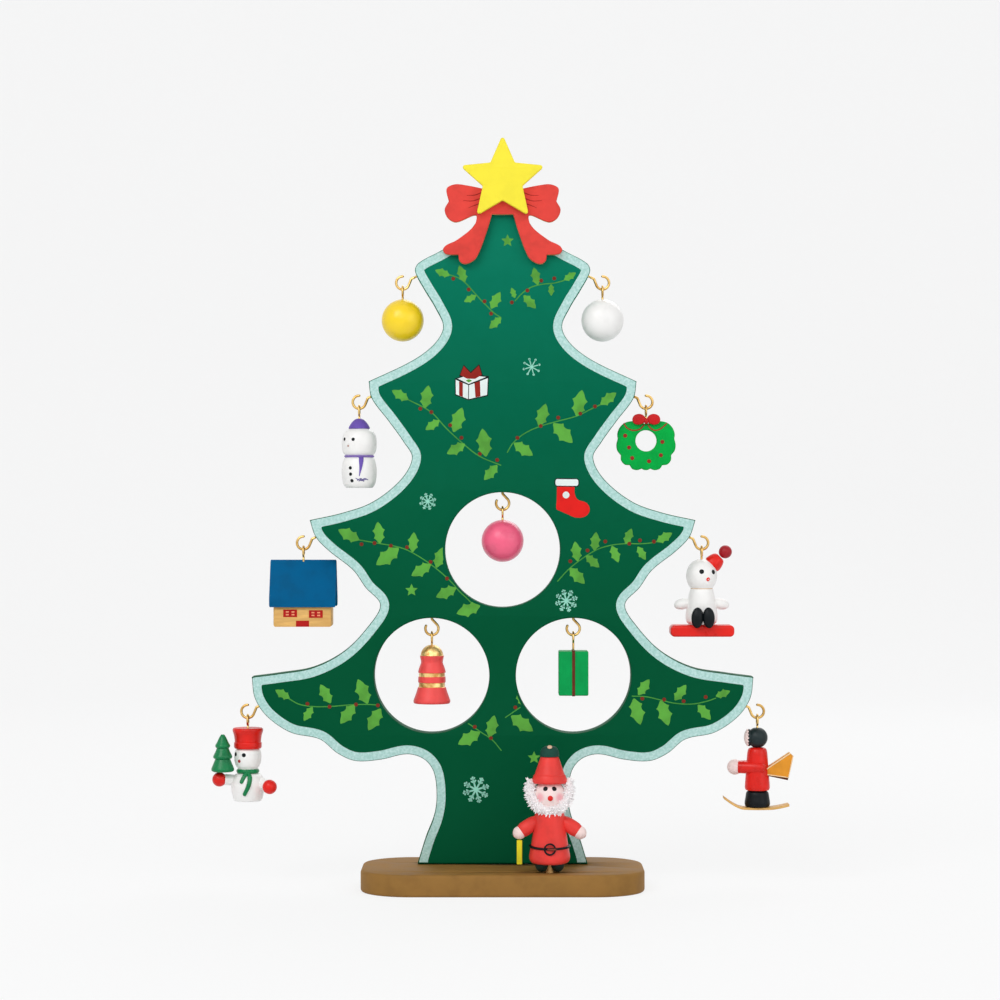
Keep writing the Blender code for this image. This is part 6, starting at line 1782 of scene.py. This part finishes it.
def build_soldier_pack(at):
    """The gold wedge on the back, with a dark band of painted shade below it for its underside, and its pale
    rim.
    """
    pack = Shape()
    # The second slab is a dark band of painted shade under the gold face
    for finish, shares in enumerate((PACK_OUTLINE_SHARES, PACK_PAINTED_SHADE_SHARES)):
        slab(pack, wound(scaled(shares, PACK_REACH, PACK_HEIGHT)), PACK_THICKNESS, PACK_EDGE_ROUND,
             at=at @ UPRIGHT, finish=finish)
    add_piece("soldier_pack_wedge", "soldier", pack, "gold_paint", "pack_painted_shade", node="soldier_pack")
    rim = Shape()
    for side in (-1, 1):
        path = [Vector((x, side * PACK_THICKNESS / 2, z))
                for x, z in scaled(PACK_OUTLINE_SHARES, PACK_REACH, PACK_HEIGHT)]
        tube(rim, path, PACK_RIM / 2, at, PACK_RIM_STEPS)
    add_piece("soldier_pack_rim", "soldier", rim, "pale_edge", slot="gold_paint")


def build_doll():
    at = hung("doll")
    top = ornament_top()
    body = profile_of(DOLL_PROFILE_SHARES, DOLL_HEAD_DIAMETER, DOLL_HEIGHT, top)
    turned_piece("doll_figure", "doll", body, "white_paint", at=at, node="doll_body")
    mouth = lowered([DOLL_MOUTH], top)
    dotted("doll_eyes", "doll", body, lowered(DOLL_EYES, top), DOLL_EYE_RADIUS, "black_paint", at)
    dotted("doll_mouth", "doll", body, mouth, DOLL_MOUTH_RADIUS, "red_paint", at)
    dotted("doll_mouth_glint", "doll", body, mouth, GLINT_RADIUS, "white_ink", at, GLINT_HEIGHT)
    neck = Shape()
    neck_z = top + DOLL_NECK_SHARE * DOLL_HEIGHT
    hoop(neck, radius_at(body, neck_z), DOLL_NECK_SECTION, at @ shift(z=neck_z))
    add_piece("doll_neck_line", "doll", neck, "neck_ink")
    for word, side in SIDES:
        arm_at = shift(side * DOLL_ARM_OFFSET, 0.0, top + DOLL_SHOULDER_SHARE * DOLL_HEIGHT)
        ball_piece("doll_sleeve_" + word, "doll", (DOLL_ARM_LENGTH, DOLL_ARM_DIAMETER, DOLL_ARM_DIAMETER),
                   "white_paint", at @ arm_at @ Matrix.Rotation(side * DOLL_ARM_TILT, 4, "Y"),
                   node="doll_arm_" + word)
    foot = top - DOLL_HEIGHT
    boots = Shape()
    boot_reach = radius_at(body, foot + DOLL_BOOT_HEIGHT * DOLL_BOOT_LEVEL_SHARE) + GAP + DOLL_BOOT_DEPTH / 2
    for side in (-1, 1):
        boot_at = shift(side * DOLL_BOOT_SPREAD_SHARE * DOLL_BOOT_WIDTH, -boot_reach,
                        foot + DOLL_BOOT_HEIGHT / 2 - DOLL_BOOT_DROP)
        ellipsoid(boots, (DOLL_BOOT_WIDTH, DOLL_BOOT_DEPTH, DOLL_BOOT_HEIGHT),
                  at @ boot_at @ Matrix.Rotation(-side * DOLL_BOOT_SPLAY, 4, "Y"))
    add_piece("doll_boots_carved", "doll", boots, "black_paint", node="doll_boots")
    sled = rounded_polygon(rectangle(SLED_LENGTH, SLED_THICKNESS), SLED_CORNER_RADIUS)
    slab_piece("doll_sled_plank", "doll", sled, SLED_DEPTH, SLED_EDGE_ROUND, "red_paint",
               at @ shift(z=foot - GAP - SLED_THICKNESS / 2) @ UPRIGHT, node="doll_sled")
    head_at = at @ shift(0.0, CAP_SETBACK, top - DOLL_HEAD_DIAMETER / 2)
    build_doll_cap(head_at @ Matrix.Rotation(CAP_TILT, 4, "Y"))
    add_eye("doll")


def build_doll_cap(at):
    """The tilted cap and its pompom, in a frame at the middle of the head."""
    cap_top = CAP_ROOT_SHARE * DOLL_HEAD_DIAMETER / 2 + CAP_HEIGHT
    turned_piece("doll_cap_turned", "doll", profile_of(CAP_SHARES, CAP_DIAMETER, CAP_HEIGHT, cap_top),
                 "red_paint", at=at, node="doll_cap")
    ball_piece("doll_pompom_ball", "doll", CAP_POMPOM_DIAMETER, "dark_red_paint",
               at @ shift(z=cap_top + GAP + CAP_POMPOM_DIAMETER / 2), node="doll_pompom")


def build_beard(at, head_z):
    """A fluffy beard: a core round the chin, whose greyer white is painted shade, with tufts that stand out
    of it on all sides.
    """
    path = smooth([Vector((x * BEARD_SPREAD, y * BEARD_REACH, head_z + z * BEARD_DROP))
                   for x, y, z in BEARD_PATH_SHARES], LINE_STEPS)
    beard = Shape()
    last = len(path) - 1
    widths = spread(BEARD_TAPER_SHARES, len(path), BEARD_CORE_RADIUS)
    # The core takes the greyer white, painted shade deep in the beard
    tube(beard, path, widths, at, BEARD_STEPS, 1)
    draw = random.Random(7)
    for _ in range(TUFT_COUNT):
        index = draw.randrange(last + 1)
        along = (path[min(index + 1, last)] - path[max(index - 1, 0)]).normalized()
        outward = Vector((path[index].x, 0.0, path[index].z - head_z))
        outward = (outward - along * outward.dot(along)).normalized()
        swing = draw.uniform(0.0, 2 * math.pi)
        lean = draw.uniform(-TUFT_LEAN, TUFT_LEAN)
        if index in (0, last):
            lean = (1 if index else -1) * draw.uniform(0.0, END_TUFT_LEAN)
        across = along.cross(outward)
        direction = (outward * math.cos(swing) + across * math.sin(swing) + along * lean
                     + Vector((0.0, 0.0, -TUFT_DROOP))).normalized()
        root = path[index] + direction * (widths[index] * TUFT_ROOT_SHARE)
        length = draw.uniform(*TUFT_LENGTH)
        bend = Vector([draw.uniform(-1, 1) for _ in range(3)]) * (length * TUFT_BEND_SHARE)
        line = [root, root + direction * (length * 0.5) + bend * TUFT_MIDDLE_BEND_SHARE,
                root + direction * length + bend]
        tube(beard, smooth(line, 2), [TUFT_RADIUS * share for share in TUFT_SHARES], at, TUFT_STEPS)
    add_piece("santa_beard_tufts", "santa", beard, "beard_white", "beard_painted_shade", slot="white_paint",
              node="santa_beard")


def build_belt(at, radius, belt_z):
    """A band that sags at the front, with a round buckle and its tongue."""
    belt = Shape()
    hoop(belt, radius, (2 * BELT_THICKNESS, BELT_HEIGHT), at @ shift(z=belt_z), 0, BELT_SAG)
    buckle_at = at @ shift(0.0, -radius - BELT_THICKNESS, belt_z - BELT_SAG) @ UPRIGHT
    ring = [Vector((x, y, 0.0)) for x, y in circle(BUCKLE_DIAMETER / 2, BUCKLE_STEPS)]
    tube(belt, ring + [ring[0]], BUCKLE_WIRE / 2, buckle_at, ends=False)
    tongue = [Vector((x * BUCKLE_DIAMETER, 0.0, z))
              for x, z in zip(TONGUE_SHARES, (BUCKLE_WIRE / 3, BUCKLE_WIRE / 2))]
    tube(belt, tongue, TONGUE_RADIUS, buckle_at, finish=1)
    add_piece("santa_belt_cord", "santa", belt, "black_paint", "buckle_brown", node="santa_belt")


def pompom_side(rise):
    """The place across and up on the squarish dome of Santa's pompom."""
    return (POMPOM_DIAMETER / 2 * math.cos(rise) ** POMPOM_SQUARENESS,
            POMPOM_HEIGHT * math.sin(rise) ** POMPOM_SQUARENESS)


def build_pompom(at, foot):
    """The pompom on Santa's hat, with the plug in its front."""
    pompom = Shape()
    rises = [math.pi / 2 * step / POMPOM_RISES for step in range(POMPOM_RISES - 1, -1, -1)]
    dome = [(x, foot + z) for x, z in map(pompom_side, rises)]
    turn(pompom, [(0.0, dome[0][1])] + dome, at)
    across, up = pompom_side(POMPOM_PLUG_RISE)
    outward = Vector((0.0, -math.cos(POMPOM_PLUG_RISE), math.sin(POMPOM_PLUG_RISE)))
    stud(pompom, Vector((0.0, -across, foot + up)), outward, POMPOM_PLUG_RADIUS, POMPOM_PLUG_HEIGHT, at, 1)
    add_piece("santa_pompom_dome", "santa", pompom, "pompom_green", "plug_wood", node="santa_pompom")


def build_santa_arms(at, shoulder, inset_x):
    """The two sleeves with their hands, and the stick under the left one."""
    reach = SLEEVE_LENGTH + HAND_DIAMETER * HAND_SEAT_SHARE
    for word, side in SIDES:
        direction = limb_direction(side, SLEEVE_TILT, SLEEVE_FORWARD)
        start = Vector((side * inset_x, 0.0, shoulder))
        sleeve = Shape()
        limb(sleeve, start, direction, SLEEVE_LENGTH, SLEEVE_DIAMETER, at, SLEEVE_TAPER_SHARES)
        add_piece("santa_sleeve_" + word, "santa", sleeve, "santa_red", slot="red_paint",
                  node="santa_arm_" + word)
        hand = Shape()
        ellipsoid(hand, HAND_DIAMETER, at @ shift(*(start + direction * reach)))
        front = start + direction * (reach + HAND_DIAMETER / 2)
        stud(hand, front, direction, HAND_BORE_RADIUS, HAND_BORE_DEPTH, at, 1)
        add_piece("santa_hand_" + word, "santa", hand, "hand_paint", "bore_pink", slot="skin_paint")
    grip = Vector((-inset_x, 0.0, shoulder)) + limb_direction(-1, SLEEVE_TILT, SLEEVE_FORWARD) * reach
    outline = rounded_polygon(rectangle(STICK_WIDTH, STICK_LENGTH), STICK_EDGE_ROUND)
    slab_piece("santa_stick_painted", "santa", outline, STICK_DEPTH, STICK_EDGE_ROUND, "stick_yellow",
               at @ shift(grip.x, grip.y, grip.z - HAND_DIAMETER / 2 - GAP - STICK_LENGTH / 2) @ UPRIGHT,
               node="santa_stick")


def build_santa():
    at = shift(SANTA_X, SANTA_Y, BASE_THICKNESS)
    turned_piece("santa_peg_rod", "santa", rod_profile(PEG_DIAMETER, -PEG_SEAT, PEG_LENGTH - PEG_SEAT),
                 "natural_wood", at=at, node="santa_peg")
    boots = Shape()
    width, depth, half_height = SANTA_BOOT_SIZE
    for side in (-1, 1):
        boot_at = at @ shift(side * SANTA_BOOT_OFFSET, 0.0, GAP + half_height)
        ellipsoid(boots, (width, depth, 2 * half_height), boot_at)
    add_piece("santa_boots_painted", "santa", boots, "boot_green", slot="black_paint", node="santa_boots")
    coat_top = GAP + SANTA_BOOT_HEIGHT + GAP + COAT_HEIGHT
    coat = profile_of(COAT_PROFILE_SHARES, COAT_DIAMETER, COAT_HEIGHT, coat_top)
    turned_piece("santa_coat_turned", "santa", coat, "santa_red", at=at, slot="red_paint", node="santa_coat")
    belt_z = coat_top + BELT_SHARE * COAT_HEIGHT
    build_belt(at, radius_at(coat, belt_z) + BELT_THICKNESS / 3, belt_z)
    head_foot = coat_top + GAP
    head_z = head_foot + SANTA_HEAD_HEIGHT / 2
    head = flat_ball_side(SANTA_HEAD_DIAMETER, SANTA_HEAD_HEIGHT, head_z)
    turned_piece("santa_face", "santa", head, "skin_paint", at=at, node="santa_head")
    dotted("santa_eyes", "santa", head, lowered(SANTA_EYES, head_z), SANTA_EYE_RADIUS, "black_paint", at)
    dotted("santa_nose", "santa", head, lowered([SANTA_NOSE], head_z), SANTA_NOSE_RADIUS, "red_paint", at,
           SANTA_NOSE_RADIUS)
    hat_top = head_foot + SANTA_HEAD_HEIGHT + SANTA_HAT_HEIGHT
    hat = profile_of(SANTA_HAT_SHARES, SANTA_HAT_DIAMETER, SANTA_HAT_HEIGHT, hat_top)
    turned_piece("santa_hat_turned", "santa", hat, "santa_red", at=at, slot="red_paint", node="santa_hat")
    build_pompom(at, hat_top)
    build_beard(at, head_z)
    shoulder = coat_top + SANTA_SHOULDER_SHARE * COAT_HEIGHT
    build_santa_arms(at, shoulder, SANTA_SHOULDER_INSET_SHARE * radius_at(coat, shoulder))


def seen_rays(tree):
    """1 where a surface is seen, directly or in a reflection, and 0 where it only sends light."""
    rays = tree.nodes.new("ShaderNodeLightPath")
    seen = rays.outputs["Is Camera Ray"]
    for kind in ("Is Glossy Ray", "Is Transmission Ray"):
        seen = add_node(tree, "Math", {0: seen, 1: rays.outputs[kind]}, operation="MAXIMUM").outputs[0]
    return seen


def paper():
    """Matt pale paper that glows a little where it is seen, directly or in a reflection."""
    material, tree, shader = new_material("floor_paper", colour=shade(FLOOR_COLOUR),
                                          roughness=FLOOR_ROUGHNESS, shine=FLOOR_SHINE)
    glow = add_node(tree, "Emission", {"Strength": GLOW_STRENGTH})
    share = add_node(tree, "Math", {0: seen_rays(tree), 1: FLOOR_GLOW}, operation="MULTIPLY")
    mix = add_node(tree, "MixShader", {"Fac": share.outputs[0], 1: shader.outputs[0], 2: glow.outputs[0]})
    tree.links.new(mix.outputs[0], tree.nodes["Material Output"].inputs["Surface"])
    return material


def build_floor():
    """A pale floor that curves up into a wall behind."""
    line = [(FLOOR_FRONT, 0.0), (WALL_START, 0.0)]
    for step in range(1, WALL_STEPS + 1):
        angle = math.pi / 2 * step / WALL_STEPS
        line.append((WALL_START + WALL_RADIUS * math.sin(angle), WALL_RADIUS * (1 - math.cos(angle))))
    line.append((WALL_START + WALL_RADIUS, WALL_HEIGHT))
    points = [(side * FLOOR_WIDTH / 2, y, z) for y, z in line for side in (-1, 1)]
    faces = [(2 * step, 2 * step + 1, 2 * step + 3, 2 * step + 2) for step in range(len(line) - 1)]
    mesh = bpy.data.meshes.new("floor")
    mesh.from_pydata(points, [], faces)
    mesh.shade_smooth()
    mesh.materials.append(paper())
    floor = bpy.data.objects.new("floor", mesh)
    bpy.context.scene.collection.objects.link(floor)


def build_camera():
    """Straight at the front, with the board as large and as placed as in the photograph."""
    data = bpy.data.cameras.new("camera")
    data.sensor_width = SENSOR_WIDTH
    data.lens = SENSOR_WIDTH * CAMERA_DISTANCE / (PHOTO_WIDTH * PIXEL)
    camera = bpy.data.objects.new("camera", data)
    x = (PHOTO_MIDDLE[0] - PHOTO_FOOT[0]) * PIXEL
    z = FOOT_Z + (PHOTO_FOOT[1] - PHOTO_MIDDLE[1]) * PIXEL
    camera.location = (x, BOARD_FRONT - CAMERA_DISTANCE, z)
    camera.rotation_euler = (math.radians(90), 0.0, 0.0)
    bpy.context.scene.collection.objects.link(camera)
    bpy.context.scene.camera = camera


def build_light():
    aim = Vector((0.0, 0.0, TREE_HEIGHT / 2))
    for name, (place, width, power) in LAMPS.items():
        data = bpy.data.lights.new(name, "AREA")
        data.shape = "SQUARE"
        data.size = width
        data.energy = power
        lamp = bpy.data.objects.new(name, data)
        lamp.location = place
        lamp.rotation_euler = (aim - Vector(place)).to_track_quat("-Z", "Y").to_euler()
        lamp.visible_camera = False
        bpy.context.scene.collection.objects.link(lamp)
    world = bpy.data.worlds.new("studio")
    world.use_nodes = True
    tree = world.node_tree
    background = tree.nodes["Background"]
    background.inputs["Color"].default_value = (1.0, 1.0, 1.0, 1.0)
    strength = add_node(tree, "Math", {0: seen_rays(tree), 1: WORLD_SHOWN - WORLD_LIGHT, 2: WORLD_LIGHT},
                        operation="MULTIPLY_ADD")
    tree.links.new(strength.outputs[0], background.inputs["Strength"])
    bpy.context.scene.world = world
    bpy.context.scene.view_settings.view_transform = "Standard"


def main():
    build_camera()
    build_light()
    build_floor()
    build_stand()
    build_board()
    build_border()
    build_prints()
    build_star_and_bow()
    build_hooks()
    for colour in ("yellow", "white", "pink"):
        build_ball(colour + "_ball", colour + "_paint")
    build_bell()
    build_snowman()
    build_gift()
    build_wreath()
    build_house()
    build_treeman()
    build_soldier()
    build_doll()
    build_santa()


MATERIALS = make_finishes()
main()
